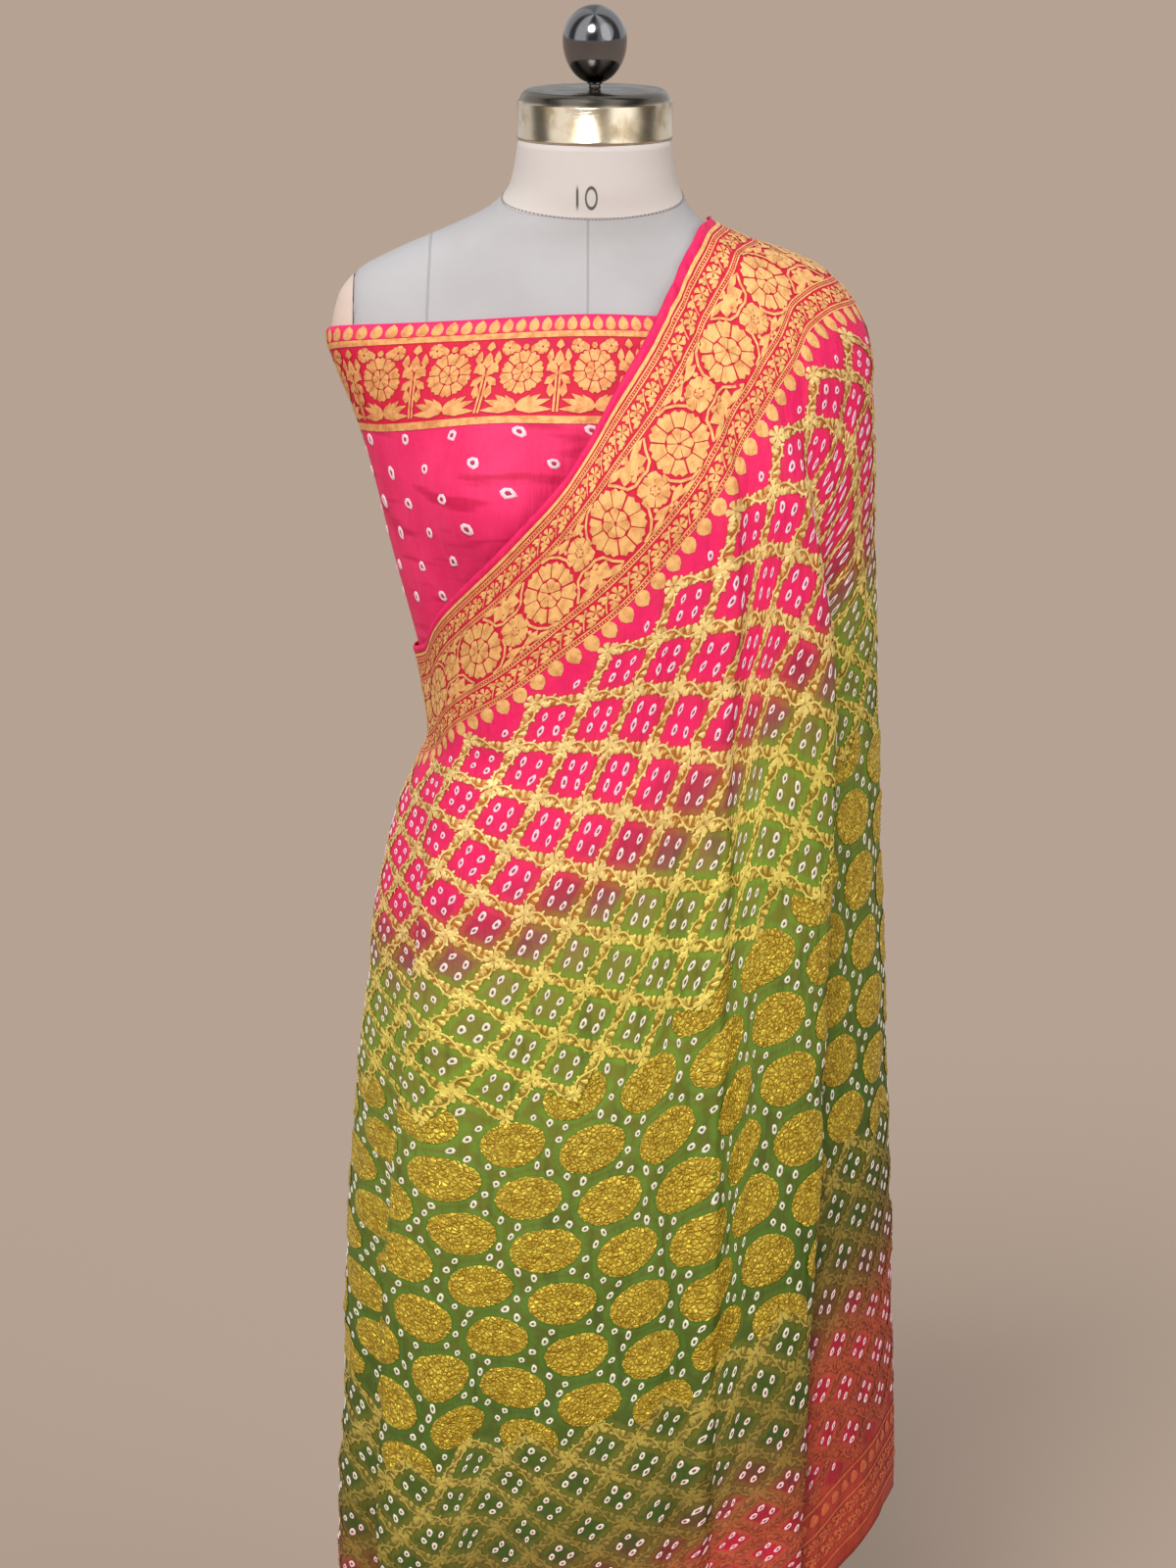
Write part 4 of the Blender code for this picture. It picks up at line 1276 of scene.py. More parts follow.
class Figure:
    """A flat woven figure in millimetres, made of small raised shapes."""

    def __init__(self, edge=0.0):
        self.verts, self.faces, self.tones = [], [], []
        self.edge = edge

    def edged(self, draw, *sizes):
        """Where this figure has edges, draws the shape a little larger in the ground's colour."""
        if self.edge:
            edge, self.edge = self.edge, 0.0
            draw(*sizes, tone=GROUND, **EDGE_HEIGHTS)
            self.edge = edge

    def shape(self, verts, faces, x=0.0, y=0.0, turn=0.0, tone=0.0):
        """Adds vertices and faces, turned and moved. Every other drawing call ends in this one."""
        c, s = math.cos(math.radians(turn)), math.sin(math.radians(turn))
        first = len(self.verts)
        self.verts += [(x + c * u - s * v, y + s * u + c * v, h) for u, v, h in verts]
        self.faces += [tuple(first + k for k in face) for face in faces]
        self.tones += [tone] * len(verts)

    def leaf(self, x, y, turn, length, width, tone=0.0, bend=0.0, height=0.7, low=0.4):
        """A pointed leaf with a raised rib. A bend curls its tip to one side."""
        e, way = self.edge, (math.cos(math.radians(turn)), math.sin(math.radians(turn)))
        self.edged(
            lambda *sizes, tone, height, low: self.leaf(*sizes, tone, bend, height, low),
            x - 1.5 * e * way[0], y - 1.5 * e * way[1], turn, length + 3 * e, width + 2 * e,
        )
        half = width / 2
        outline = [(0, 0), (0.35, -half), (0.72, -0.62 * half), (1, 0)]
        outline += [(t, -w) for t, w in outline[2:0:-1]]
        verts = [(length * t, w + bend * t * t, low) for t, w in outline]
        verts += [(length * t, bend * t * t, height) for t in (0.32, 0.68)]
        faces = [(0, 1, 6), (1, 2, 7, 6), (2, 3, 7), (3, 4, 7), (4, 5, 6, 7), (5, 0, 6)]
        self.shape(verts, faces, x, y, turn, tone)

    def petal(
        self, x, y, turn, start, length, width, tone=0.0, notch=0.06, height=0.7, low=0.4, root=0.5
    ):
        """A broad petal that starts some way from the flower's middle and has a notched tip."""
        e = self.edge
        self.edged(
            lambda *sizes, tone, height, low: self.petal(*sizes, tone, notch, height, low, root),
            x, y, turn, start - e, length + 2 * e, width + 2 * e,
        )
        half = width / 2
        outline = [(0, -root * half), (0.42, -(0.5 + 0.56 * root) * half), (0.78, -half)]
        outline += [(0.98, -0.42 * half), (1 - notch, 0)]
        outline += [(t, -w) for t, w in outline[3::-1]]
        verts = [(start + length * t, w, low) for t, w in outline]
        verts.append((start + 0.62 * length, 0, height))
        faces = [(k, (k + 1) % 9, 9) for k in range(9)]
        self.shape(verts, faces, x, y, turn, tone)

    def berry(self, x, y, radius, tone=0.0, sides=6, height=0.7, low=0.4):
        self.edged(
            lambda *sizes, tone, height, low: self.berry(*sizes, tone, sides, height, low),
            x, y, radius + self.edge,
        )
        ring = [2 * math.pi * k / sides for k in range(sides)]
        verts = [(radius * math.cos(t), radius * math.sin(t), low) for t in ring] + [(0, 0, height)]
        self.shape(verts, [(k, (k + 1) % sides, sides) for k in range(sides)], x, y, 0, tone)

    def stem(self, points, width, tone=0.0, height=0.55):
        """A ribbon along a line of points."""
        self.edged(
            lambda *sizes, tone, height, low: self.stem(*sizes, tone, height),
            points, width + 2 * self.edge,
        )
        line = np.array(points, float)
        way = np.gradient(line, axis=0)
        side = np.stack([-way[:, 1], way[:, 0]], axis=1)
        side *= width / 2 / np.linalg.norm(side, axis=1, keepdims=True)
        verts = [(*p, height) for p in line - side] + [(*p, height) for p in line + side]
        n = len(line)
        self.shape(verts, [(k, k + 1, n + k + 1, n + k) for k in range(n - 1)], tone=tone)

    def flower(self, x, y, petals, start, length, width, turn=0.0, tone=0.0, notch=0.06, root=0.25):
        """A ring of petals of one size."""
        for k in range(petals):
            self.petal(x, y, turn + 360 * k / petals, start, length, width, tone, notch, root=root)

    def mirrored(self):
        """The same figure with up and down exchanged."""
        other = Figure()
        other.verts = [(x, -y, h) for x, y, h in self.verts]
        other.faces = [tuple(reversed(face)) for face in self.faces]
        other.tones = list(self.tones)
        return other


print("figures are drawn from leaves, petals, berries and stems")

# %% [markdown]
# ## Laying figures on draped cloth
#
# The figures repeat thousands of times, and each must lie on the folds. One Geometry Nodes tree
# does it for them all. It puts a figure on every point of a flat plan, reads the flat place of
# every vertex, and looks up where that place hangs on the sheet, through the sheet's UV map. What
# falls off the cloth is deleted.


# %% The laying tree
LAY_INPUTS = {
    "Geometry": "NodeSocketGeometry",
    "Figures": "NodeSocketCollection",
    "Cloth": "NodeSocketObject",
    "Lift": "NodeSocketFloat",
    "Turn Jitter": "NodeSocketFloat",
    "Size Jitter": "NodeSocketFloat",
    "Seed": "NodeSocketInt",
    "Finish": "NodeSocketMaterial",
}


def named(tree, name, kind):
    return add(tree, "GeometryNodeInputNamedAttribute", {"Name": name}, data_type=kind).outputs[0]


def figures_on_plan(tree, given):
    """A figure on every point of the plan, turned and sized as its row says, with some jitter."""

    def scatter(spread, offset):
        low = calc("MULTIPLY", spread, -1.0)
        given_range = {2: low, 3: spread, 8: calc("ADD", given["Seed"], float(offset))}
        return add(tree, "FunctionNodeRandomValue", given_range, data_type="FLOAT").outputs[1]

    turn = calc("ADD", named(tree, "turn", "FLOAT"), scatter(given["Turn Jitter"], 1))
    grow = calc("ADD", 1.0, scatter(given["Size Jitter"], 2))
    sizes = {0: named(tree, "size", "FLOAT_VECTOR"), "Scale": grow}
    shelf = {"Collection": given["Figures"], "Separate Children": True, "Reset Children": True}
    placing = {
        "Points": given["Geometry"],
        "Instance": add(tree, "GeometryNodeCollectionInfo", shelf).outputs[0],
        "Pick Instance": True,
        "Instance Index": named(tree, "kind", "INT"),
        "Rotation": add(tree, "ShaderNodeCombineXYZ", {2: turn}).outputs[0],
        "Scale": add(tree, "ShaderNodeVectorMath", sizes, operation="SCALE").outputs[0],
    }
    placed = add(tree, "GeometryNodeInstanceOnPoints", placing).outputs[0]
    return add(tree, "GeometryNodeRealizeInstances", {0: placed}).outputs[0]


def laying_tree():
    tree = bpy.data.node_groups.new("lay_on_cloth", "GeometryNodeTree")
    sockets = {
        name: tree.interface.new_socket(name=name, in_out="INPUT", socket_type=kind).identifier
        for name, kind in LAY_INPUTS.items()
    }
    tree.interface.new_socket(name="Geometry", in_out="OUTPUT", socket_type="NodeSocketGeometry")
    given = add(tree, "NodeGroupInput").outputs
    real = figures_on_plan(tree, given)
    position = add(tree, "GeometryNodeInputPosition").outputs[0]
    x, y, z = split(position)
    flat = add(tree, "ShaderNodeCombineXYZ", {0: x, 1: y}).outputs[0]
    store = {"Geometry": real, "Name": "cloth_at", "Value": flat}
    stored = add(tree, "GeometryNodeStoreNamedAttribute", store, data_type="FLOAT_VECTOR").outputs[0]
    cloth = add(tree, "GeometryNodeObjectInfo", {"Object": given["Cloth"]}).outputs["Geometry"]

    uv = named(tree, "UVMap", "FLOAT_VECTOR")

    def on_cloth(value):
        look = {"Mesh": cloth, "Value": value, "UV Map": uv, "Sample UV": flat}
        return add(tree, "GeometryNodeSampleUVSurface", look, data_type="FLOAT_VECTOR").outputs

    where = on_cloth(position)
    outward = on_cloth(named(tree, "outward", "FLOAT_VECTOR"))[0]
    off_cloth = add(tree, "FunctionNodeBooleanMath", {0: where[1]}, operation="NOT").outputs[0]
    height = calc("ADD", z, given["Lift"])
    away = {0: outward, "Scale": height}
    rise = add(tree, "ShaderNodeVectorMath", away, operation="SCALE").outputs[0]
    target = add(tree, "ShaderNodeVectorMath", {0: where[0], 1: rise}, operation="ADD").outputs[0]
    laid = stored
    for kind, values in (
        ("DeleteGeometry", {"Selection": off_cloth}),
        ("SetPosition", {"Position": target}),
        ("SetShadeSmooth", {}),
        ("SetMaterial", {"Material": given["Finish"]}),
    ):
        laid = add(tree, "GeometryNode" + kind, {"Geometry": laid, **values}).outputs[0]
    add(tree, "NodeGroupOutput", {0: laid})
    return tree, sockets


lay_tree, lay_sockets = laying_tree()
print("laying tree:", len(lay_tree.nodes), "nodes")

# %% [markdown]
# A plan is a list of rows: where the figure goes on the flat cloth, which figure it is, how far it
# is turned, and its size. It becomes a mesh of loose points, the tree runs on it, and the result
# is copied to a plain mesh. The figures themselves and the plan are then removed.


# %% Laying one set of figures
def fill(mesh, name, kind, values):
    """Gives a mesh a value for every point."""
    data = mesh.attributes.new(name, kind, "POINT").data
    data.foreach_set("vector" if kind == "FLOAT_VECTOR" else "value", values)


def lay(name, cloth, figures, plan, finish, lift=0.0008, turn_jitter=0.0, size_jitter=0.0, seed=1):
    """Lays figures by a plan of (x, y, kind, degrees, size) rows and returns one plain mesh."""
    shelf = bpy.data.collections.new(name + "_figures")
    drawn = []
    for k, figure in enumerate(figures):
        piece = add_mesh(f"{name}_{k:02d}", np.array(figure.verts) * 0.001, figure.faces)
        fill(piece.data, "tone", "FLOAT", figure.tones)
        bpy.context.scene.collection.objects.unlink(piece)
        shelf.objects.link(piece)
        drawn.append(piece)
    layout = add_mesh(name + "_plan", [(x, y, 0) for x, y, *_ in plan], [])
    fill(layout.data, "kind", "INT", [int(row[2]) for row in plan])
    fill(layout.data, "turn", "FLOAT", [math.radians(row[3]) for row in plan])
    fill(layout.data, "size", "FLOAT_VECTOR", np.repeat([row[4] for row in plan], 3).astype(np.float32))
    laying = layout.modifiers.new("lay_on_cloth", "NODES")
    laying.node_group = lay_tree
    given = {"Figures": shelf, "Cloth": cloth, "Lift": lift, "Turn Jitter": math.radians(turn_jitter)}
    given.update({"Size Jitter": size_jitter, "Seed": seed, "Finish": finish})
    for key, value in given.items():
        laying[lay_sockets[key]] = value
    laid = layout.evaluated_get(bpy.context.evaluated_depsgraph_get())
    made = link_mesh(name, bpy.data.meshes.new_from_object(laid))
    made.data.name = name
    for used in ("kind", "turn", "size"):
        if used in made.data.attributes:
            made.data.attributes.remove(made.data.attributes[used])
    for old in drawn + [layout]:
        bpy.data.objects.remove(old)
    bpy.data.collections.remove(shelf)
    made.data.calc_loop_triangles()
    print(f"{name}: {len(plan)} figures, {len(made.data.loop_triangles)} triangles")
    return made


# %% [markdown]
# ## Gold thread
#
# The thread is a metal ribbon round a silk core, and takes some colour from the dye. Its glitter in
# grains, pale where it faces the light and orange where it turns away, is painted: its colour goes
# from a lit tone to a shaded tone, as painted highlight and painted shade, and both follow the dyed
# bands down the cloth. Where the gold is thick it creases like foil, which a cell pattern's edges
# draw.


# %% Gold material
GRAINS, PATCHES, FOIL_CELLS = 1100.0, 150.0, 290.0
GROUND_FROM, GROUND_FULL = 1.3, 1.5  # tones between dark gold and the ground


def foil_cracks(tree, where, tint, below):
    """The colour and the bumps of thick gold, with painted shade in its creases."""
    cells = {"Vector": where, "Scale": FOIL_CELLS, "Randomness": 0.9}
    away = add(tree, "ShaderNodeTexVoronoi", cells, feature="DISTANCE_TO_EDGE").outputs["Distance"]
    # Painted shade: the tint is darker along the cell edges, where the foil creases.
    tint = mix(step(away, 0.0, 0.11, 0.6, 0.0), tint, colour(132, 96, 20))
    return tint, bump(step(away, 0.0, 0.22), 1.0, 0.0011, below)


def gold_thread(name, light, dark, glitter, metallic, roughness, ground=(196, 24, 62), cracked=False):
    made, tree, shader = new_material(name)
    where, x, down = flat_place(tree, "cloth_at")
    share = calc("DIVIDE", bath_depth(x, down), FLAT_WIDTH)
    tone = attribute(tree, "tone", "Fac")
    speck = noise(where, GRAINS, 2.0, 0.6)
    patch = noise(where, PATCHES, 2.0)
    # Painted light: the tone, glittering grains and patches turned from the light pick between the lit and
    # the shaded gold, as painted highlight and painted shade.
    shade = calc("ADD", tone, calc("MULTIPLY_ADD", speck, glitter * 2.4, -glitter * 1.2))
    turned_away = step(patch, 0.38, 0.66)
    shade = calc("SUBTRACT", shade, 0.25)
    shade = calc("MULTIPLY_ADD", turned_away, 0.65, shade, clamp=True)
    tint = mix(shade, colour_bands(share, light), colour_bands(share, dark))
    relief = bump(patch, 0.25 if cracked else 0.5, 0.0022, creases(tree, 0.5))
    if cracked:
        tint, relief = foil_cracks(tree, where, tint, relief)
    picks = wave(where, 420.0, 1.5)
    paint(
        shader,
        base_color=mix(step(tone, GROUND_FROM, GROUND_FULL), tint, colour(*ground)),
        metallic=step(tone, GROUND_FROM, GROUND_FULL, metallic, 0.0),
        roughness=step(tone, GROUND_FROM, GROUND_FULL, roughness, 0.8),
        normal=bump(calc("ADD", picks, speck), 0.4, 0.0004, relief),
    )
    return made


def one_colour(*rgb):
    return [(0.0, *rgb), (FLAT_WIDTH, *rgb)]


print("gold can be plain or cracked")

# %% Gold for each part of the cloth
# Low on the cloth the field gold is the matt thread that was dyed over, and it is painted darker still as
# painted shade, for light that falls off down the form.
FIELD_LIT = [(0.0, 255, 226, 152), (0.24, 255, 226, 144), (0.30, 246, 226, 112)]
FIELD_LIT += [(0.55, 236, 208, 92), (0.68, 142, 124, 44), (0.735, 144, 108, 42)]
FIELD_LIT += [(0.785, 180, 78, 42), (0.975, 184, 80, 50)]
FIELD_SHADED = [(0.0, 200, 108, 42), (0.24, 194, 112, 38), (0.30, 156, 128, 30)]
FIELD_SHADED += [(0.55, 132, 106, 26), (0.68, 96, 90, 28), (0.735, 104, 82, 30)]
FIELD_SHADED += [(0.785, 150, 56, 44), (0.975, 142, 44, 40)]
# The foil gold darkens towards the hem as painted shade, for light that falls off down the form.
FOIL_LIT = [(0.0, 252, 230, 100), (0.5, 238, 212, 74), (FLAT_WIDTH, 200, 172, 56)]
FOIL_SHADED = [(0.0, 212, 176, 54), (0.5, 190, 154, 40), (FLAT_WIDTH, 150, 120, 30)]
BORDER_GOLD = one_colour(244, 188, 116), one_colour(206, 122, 66)
BLOUSE_GOLD = one_colour(242, 178, 112), one_colour(206, 108, 50)
HEM_THREAD = one_colour(206, 100, 60), one_colour(176, 68, 46)

field_gold = gold_thread("gold_thread_field", FIELD_LIT, FIELD_SHADED, 0.42, 0.4, 0.4)
matt_gold = gold_thread("matt_thread", FIELD_LIT, FIELD_SHADED, 0.5, 0.1, 0.6)
foil_gold = gold_thread("gold_thread_foil", FOIL_LIT, FOIL_SHADED, 0.25, 0.6, 0.36, cracked=True)
border_gold = gold_thread("gold_thread_border", *BORDER_GOLD, 0.50, 0.20, 0.45, (214, 28, 64))
blouse_gold = gold_thread("gold_thread_blouse", *BLOUSE_GOLD, 0.55, 0.25, 0.5, (210, 26, 60))
hem_gold = gold_thread("hem_thread", *HEM_THREAD, 0.4, 0.2, 0.5, (150, 34, 36))
print("six kinds of gold ready")

# %% [markdown]
# ## The gold lattice
#
# The field is divided by a diamond lattice of flowering vines. Each edge is a winding band with
# round leaves in its hollows and berries where it crosses itself, and a flower sits on each
# crossing. All of it is placed by rows and columns of the flat cloth.

# %% Vine and flower
EDGE_LONG = math.hypot(HALF_WIDE, HALF_TALL)
EDGE_SLOPE = math.degrees(math.atan2(HALF_TALL, HALF_WIDE))
VINE_END = 1.5  # millimetres short of the crossing

# Each leaf's tone is its painted light and shade.
VineLeaf = namedtuple("VineLeaf", "tilt length width tone")
VINE_LEAVES = [
    VineLeaf(-38, 4.6, 3.2, 0.0),
    VineLeaf(-12, 5.6, 3.6, 0.35),
    VineLeaf(16, 5.4, 3.6, 0.05),
    VineLeaf(44, 4.4, 3.0, 0.6),
]


def vine():
    """One edge: a winding band with a stem along one side and round leaves on the other."""
    figure = Figure()
    long = EDGE_LONG * 1000
    xs = np.linspace(VINE_END, long - VINE_END, 15)
    swing = np.sin(2 * np.pi * (xs - VINE_END) / (long - 2 * VINE_END))
    # The wide low band under the leaves has tone 1, the shaded gold: painted shade between them.
    figure.stem(np.stack([xs, -0.2 * swing], axis=1), 6.4, 1.0, 0.12)
    figure.stem(np.stack([xs, 3.6 * swing], axis=1), 1.3, 0.0, 0.8)
    for side, first in ((-1, 3.8), (1, long - 3.8)):
        for k, leaf in enumerate(VINE_LEAVES):
            place = first - side * 3.3 * k, -side * 1.3, side * (90 + leaf.tilt)
            figure.petal(*place, 0.0, leaf.length, leaf.width, leaf.tone, 0.0, 1.1, root=0.2)
        for x, turn in ((2.4, 20), (8.2, -24)):
            figure.leaf(first - side * x, -side * 3.0, -side * (90 + turn), 3.0, 2.2, 0.2, height=0.8)
    for x, y in ((-1.9, -2.3), (-0.4, 1.6), (1.9, 2.3), (0.4, -1.6)):
        figure.berry(long / 2 + x, y, 1.35, 0.15, height=1.0)
    return figure


def crossing_flower():
    figure = Figure()
    # The disc under the petals has tone 1, the shaded gold: painted shade between them.
    figure.berry(0, 0, 4.6, 1.0, sides=8, height=0.2, low=0.1)
    figure.flower(0, 0, 6, 0.9, 6.0, 4.4, 15)
    figure.berry(0, 0, 1.2, 0.5, height=1.0)
    return figure


lattice_figures = [vine(), crossing_flower()]
print("an edge of the lattice is", round(EDGE_LONG * 1000, 1), "mm long")

# %% The lattice in place
LEFT, RIGHT = -36, 42  # columns of half diamonds that cover the cloth
CROSSING_TURN = 17  # degrees more at each crossing, so that no two flowers look the same


def lattice_plan(top, rows):
    """Crossings and edges of the lattice, as rows for the laying tree."""
    plan = []
    for j in range(rows + 1):
        for i in range(LEFT, RIGHT):
            if (i + j) % 2 == 0:
                continue
            x, y = i * HALF_WIDE, -(top + j * HALF_TALL)
            plan.append((x, y, 1, CROSSING_TURN * (i + j), 1.0))
            if j < rows:
                plan.append((x, y, 0, -EDGE_SLOPE, 1.0))
                plan.append((x, y, 0, EDGE_SLOPE - 180, 1.0))
    return plan


vines = lay("gold_vines", sari, lattice_figures, lattice_plan(FIELD_TOP, GRID_ROWS), field_gold)

# %% [markdown]
# ## The medallions
#
# Below the lattice hang oval medallions, each a double ring of petals. The gold is thick there
# and crumples like foil. Every second one begins under the lattice, so only its lower half shows.

# %% Medallions
MEDALLION_ROWS = 6
MEDALLION_STEPS = 48
WHOLE, LOWER_HALF, UPPER_HALF = 0, -1, 1

# A ring of the medallion. A petal spans some vertices, with a ridge in its middle and creases.
# Its tones are painted lighter on the ridges and darker in the creases: painted highlight and shade.
Ring = namedtuple("Ring", "reach vertices ridge ridge_tone crease crease_tone")
RINGS = [
    Ring(0.17, 8, 0.9, 0.3, 0.5, 0.5),
    Ring(0.36, 4, 1.3, 0.25, 0.4, 0.55),
    Ring(0.53, 4, 0.5, 0.45, 0.3, 0.65),
    Ring(0.66, 2, 1.1, 0.3, 0.6, 0.5),
    Ring(0.86, 2, 1.3, 0.3, 0.5, 0.55),
    Ring(1.0, 2, 0.4, 0.4, 0.3, 0.45),
]


def medallion(seed, shown=WHOLE):
    """An oval of petals in two rings. A lattice may cover one half of it."""
    figure = Figure()
    rng = np.random.default_rng(seed)
    turns = np.linspace(0.0, 2 * math.pi, MEDALLION_STEPS, endpoint=False)
    verts, tones = [(0.0, shown * 9.0, 0.9)], [0.5]
    for ring in RINGS:
        for k, t in enumerate(turns):
            shift = 0.5 * (ring.vertices == 4)
            bow = 0.5 - 0.5 * math.cos(2 * math.pi * (k + shift) / ring.vertices)
            reach = ring.reach * (1 + rng.uniform(-0.02, 0.02)) * (1 + 0.02 * bow * (ring.reach == 1.0))
            x = MEDALLION_HALF[0] * reach * math.cos(t)
            y = MEDALLION_HALF[1] * reach * math.sin(t)
            if shown:
                y = shown * max(shown * y, 5.6 - 0.8 * abs(x))
            height = ring.crease + (ring.ridge - ring.crease) * bow
            verts.append((x, y, height + rng.uniform(-0.1, 0.1)))
            tones.append(ring.crease_tone + (ring.ridge_tone - ring.crease_tone) * bow)
    n = MEDALLION_STEPS
    faces = [(0, 1 + k, 1 + (k + 1) % n) for k in range(n)]
    for a in range(1, 1 + n * (len(RINGS) - 1), n):
        b = a + n
        faces += [(a + k, b + k, b + (k + 1) % n, a + (k + 1) % n) for k in range(n)]
    figure.shape(verts, faces)
    figure.tones = tones
    return figure


def medallion_plan():
    """Columns of medallions between the lattice's columns. Every second column is half a step up."""
    plan = []
    for i in range(LEFT, RIGHT):
        if i % 2 == 0:
            continue
        odd = (i + 1) // 2 % 2
        for k in range(MEDALLION_ROWS + 1):
            down = GRID_BOTTOM + MEDALLION_DROP * (k + 0.5 * odd)
            kind = (3 if k == 0 else 4 if k == MEDALLION_ROWS else k % 3) if not odd else (k + 1) % 3
            if down < LOWER_TOP + 0.010:
                plan.append((i * HALF_WIDE, -down, kind, 0.0, 1.0))
    return plan


medallion_figures = [medallion(1), medallion(2), medallion(3)]
medallion_figures += [medallion(4, LOWER_HALF), medallion(5, UPPER_HALF)]
jitter = {"turn_jitter": 3, "size_jitter": 0.03}
medallions = lay("gold_medallions", sari, medallion_figures, medallion_plan(), foil_gold, **jitter)

# %% [markdown]
# ## The lower lattice
#
# Towards the hem the lattice comes back, through the dark green and into the red. There it is
# woven with matt thread.

# %% Lower lattice
LOWER_ROWS = 12
lower_vines = lay("matt_vines", sari, lattice_figures, lattice_plan(LOWER_TOP, LOWER_ROWS), matt_gold)

# %% [markdown]
# ## Tied dots
#
# Each dot is a pinch of cloth that was bound with thread before dyeing. The binding keeps a ring
# of silk white, and leaves a small dark peak in its middle. No two ties are alike, so the dots are
# five uneven rings, turned and sized a little differently each time.

# %% One dot
DOT_SIDES = 8
DOT_RINGS = ((1.0, 0.05), (0.74, 0.6), (0.42, 0.25))  # share of the radius, and height


def tied_dot(seed, square, wide=2.2, tall=2.5):
    """A ring of undyed cloth, uneven as a hand-tied one is, round a small dark middle."""
    figure = Figure()
    rng = np.random.default_rng(seed)
    n = DOT_SIDES
    turns = [2 * math.pi * k / n for k in range(n)]
    uneven = 1 + rng.uniform(-0.13, 0.13, n) + square * np.cos(4 * np.array(turns))
    verts = []
    for share, height in DOT_RINGS:
        for t, w in zip(turns, uneven):
            verts.append((wide * share * w * math.cos(t), tall * share * w * math.sin(t), height))
    faces = [(a + k, a + (k + 1) % n, a + n + (k + 1) % n, a + n + k) for a in (0, n) for k in range(n)]
    figure.shape(verts, faces)
    middle = [(x, y, 0.2) for x, y, _ in verts[-n:]] + [(0, 0, 0.5)]
    figure.shape(middle, [(k, (k + 1) % n, n) for k in range(n)], tone=1.0)
    return figure


dots = [tied_dot(11, 0.04), tied_dot(12, 0.08), tied_dot(13, 0.0, 2.0, 2.9)]
dots += [tied_dot(14, -0.05, 1.8, 3.2), tied_dot(15, 0.05, 1.7, 3.5)]
print("dots:", len(dots), "kinds")

# %% [markdown]
# The bound silk is not quite white. Each bath has crept under the thread a little, so the ring is
# tinged with the dye that it was dipped in, and the peak in its middle has taken all of it.

# %% Undyed silk
PALE = [(0.0, 250, 214, 228), (0.22, 244, 208, 220), (0.29, 236, 226, 208)]
PALE += [(0.62, 226, 220, 196), (0.77, 236, 196, 200)]
DEEP = [(0.0, 190, 26, 84), (0.22, 150, 52, 78), (0.29, 96, 98, 48)]
DEEP += [(0.62, 62, 84, 40), (0.77, 150, 24, 52)]


def undyed_silk():
    made, tree, shader = new_material("undyed_silk", roughness=0.75, sheen_weight=0.1)
    where, x, down = flat_place(tree, "cloth_at")
    share = calc("DIVIDE", bath_depth(x, down), FLAT_WIDTH)
    pale, deep = colour_bands(share, PALE), colour_bands(share, DEEP)
    stain = step(noise(where, 420.0, 2.0), 0.45, 0.75)
    pale = mix(calc("MULTIPLY", stain, 0.35), pale, deep)
    tint = mix(attribute(tree, "tone", "Fac"), pale, deep)
    paint(shader, base_color=tint, normal=bump(noise(where, 700.0, 2.0), 0.4, 0.0004))
    return made


pale_silk = undyed_silk()
print("undyed silk ready")

# %% [markdown]
# Four dots sit in each diamond. Between the medallions, rows of them run in zigzags. The cloth is
# pulled out towards the shoulder, so the dots on the right are longer and lie slanting.

# %% Dots in place
DOT_SIZE = 1.12
DOT_SPOTS = [(0, 7.3), (7.6, 0), (0, -7.3), (-7.6, 0)]  # millimetres from a diamond's middle
DOT_SPREAD = 0.6
DRAWN_TURN = -48
ZIGZAG_HALF = 0.0150
ZIGZAG_DOTS = 6  # dots down the cloth for each medallion


def dot_plan(top, rows):
    """Dots in the diamonds. The first and last rows of diamonds are cut off, and hold fewer."""
    rng = np.random.default_rng(5)
    plan = []
    for j in range(0, rows + 1):
        for i in range(LEFT, RIGHT):
            if (i + j) % 2:
                continue
            spots = DOT_SPOTS
            if j == 0:
                spots = [(0, -7.5)] if top == FIELD_TOP else spots[1:3]
            if j == rows:
                spots = DOT_SPOTS[:1]
            for dx, dy in spots:
                x = i * HALF_WIDE + (dx + rng.uniform(-DOT_SPREAD, DOT_SPREAD)) / 1000
                y = -(top + j * HALF_TALL) + (dy + rng.uniform(-DOT_SPREAD, DOT_SPREAD)) / 1000
                drawn_out = x > -0.07 - 0.3 * (-y - 0.2)
                kind = rng.integers(2, 5) if drawn_out else rng.integers(3)
                turn = DRAWN_TURN if drawn_out else 0
                plan.append((x, y, kind, turn + rng.uniform(-14, 14), DOT_SIZE))
    return plan


def zigzag_plan():
    """Dots between the columns of medallions. Each slanted row shares its end dots."""
    rng = np.random.default_rng(6)
    plan = []
    for i in range(LEFT, RIGHT):
        if i % 2:
            continue
        side = 1 if i // 2 % 2 else -1
        for k in range(64):
            down = GRID_BOTTOM + 0.006 + k * MEDALLION_DROP / ZIGZAG_DOTS
            if down > LOWER_TOP - 0.008:
                break
            phase = (down - GRID_BOTTOM) / MEDALLION_DROP % 1.0
            swing = 1 - 4 * abs(phase - 0.5)
            x = i * HALF_WIDE + side * swing * ZIGZAG_HALF + rng.uniform(-0.0008, 0.0008)
            y = -down + rng.uniform(-0.0006, 0.0006)
            plan.append((x, y, rng.integers(4), -30 + rng.uniform(-25, 25), DOT_SIZE))
    return plan


def lay_dots(name, cloth, plan, seed, lift=0.0006):
    return lay(name, cloth, dots, plan, pale_silk, lift, turn_jitter=8, size_jitter=0.12, seed=seed)


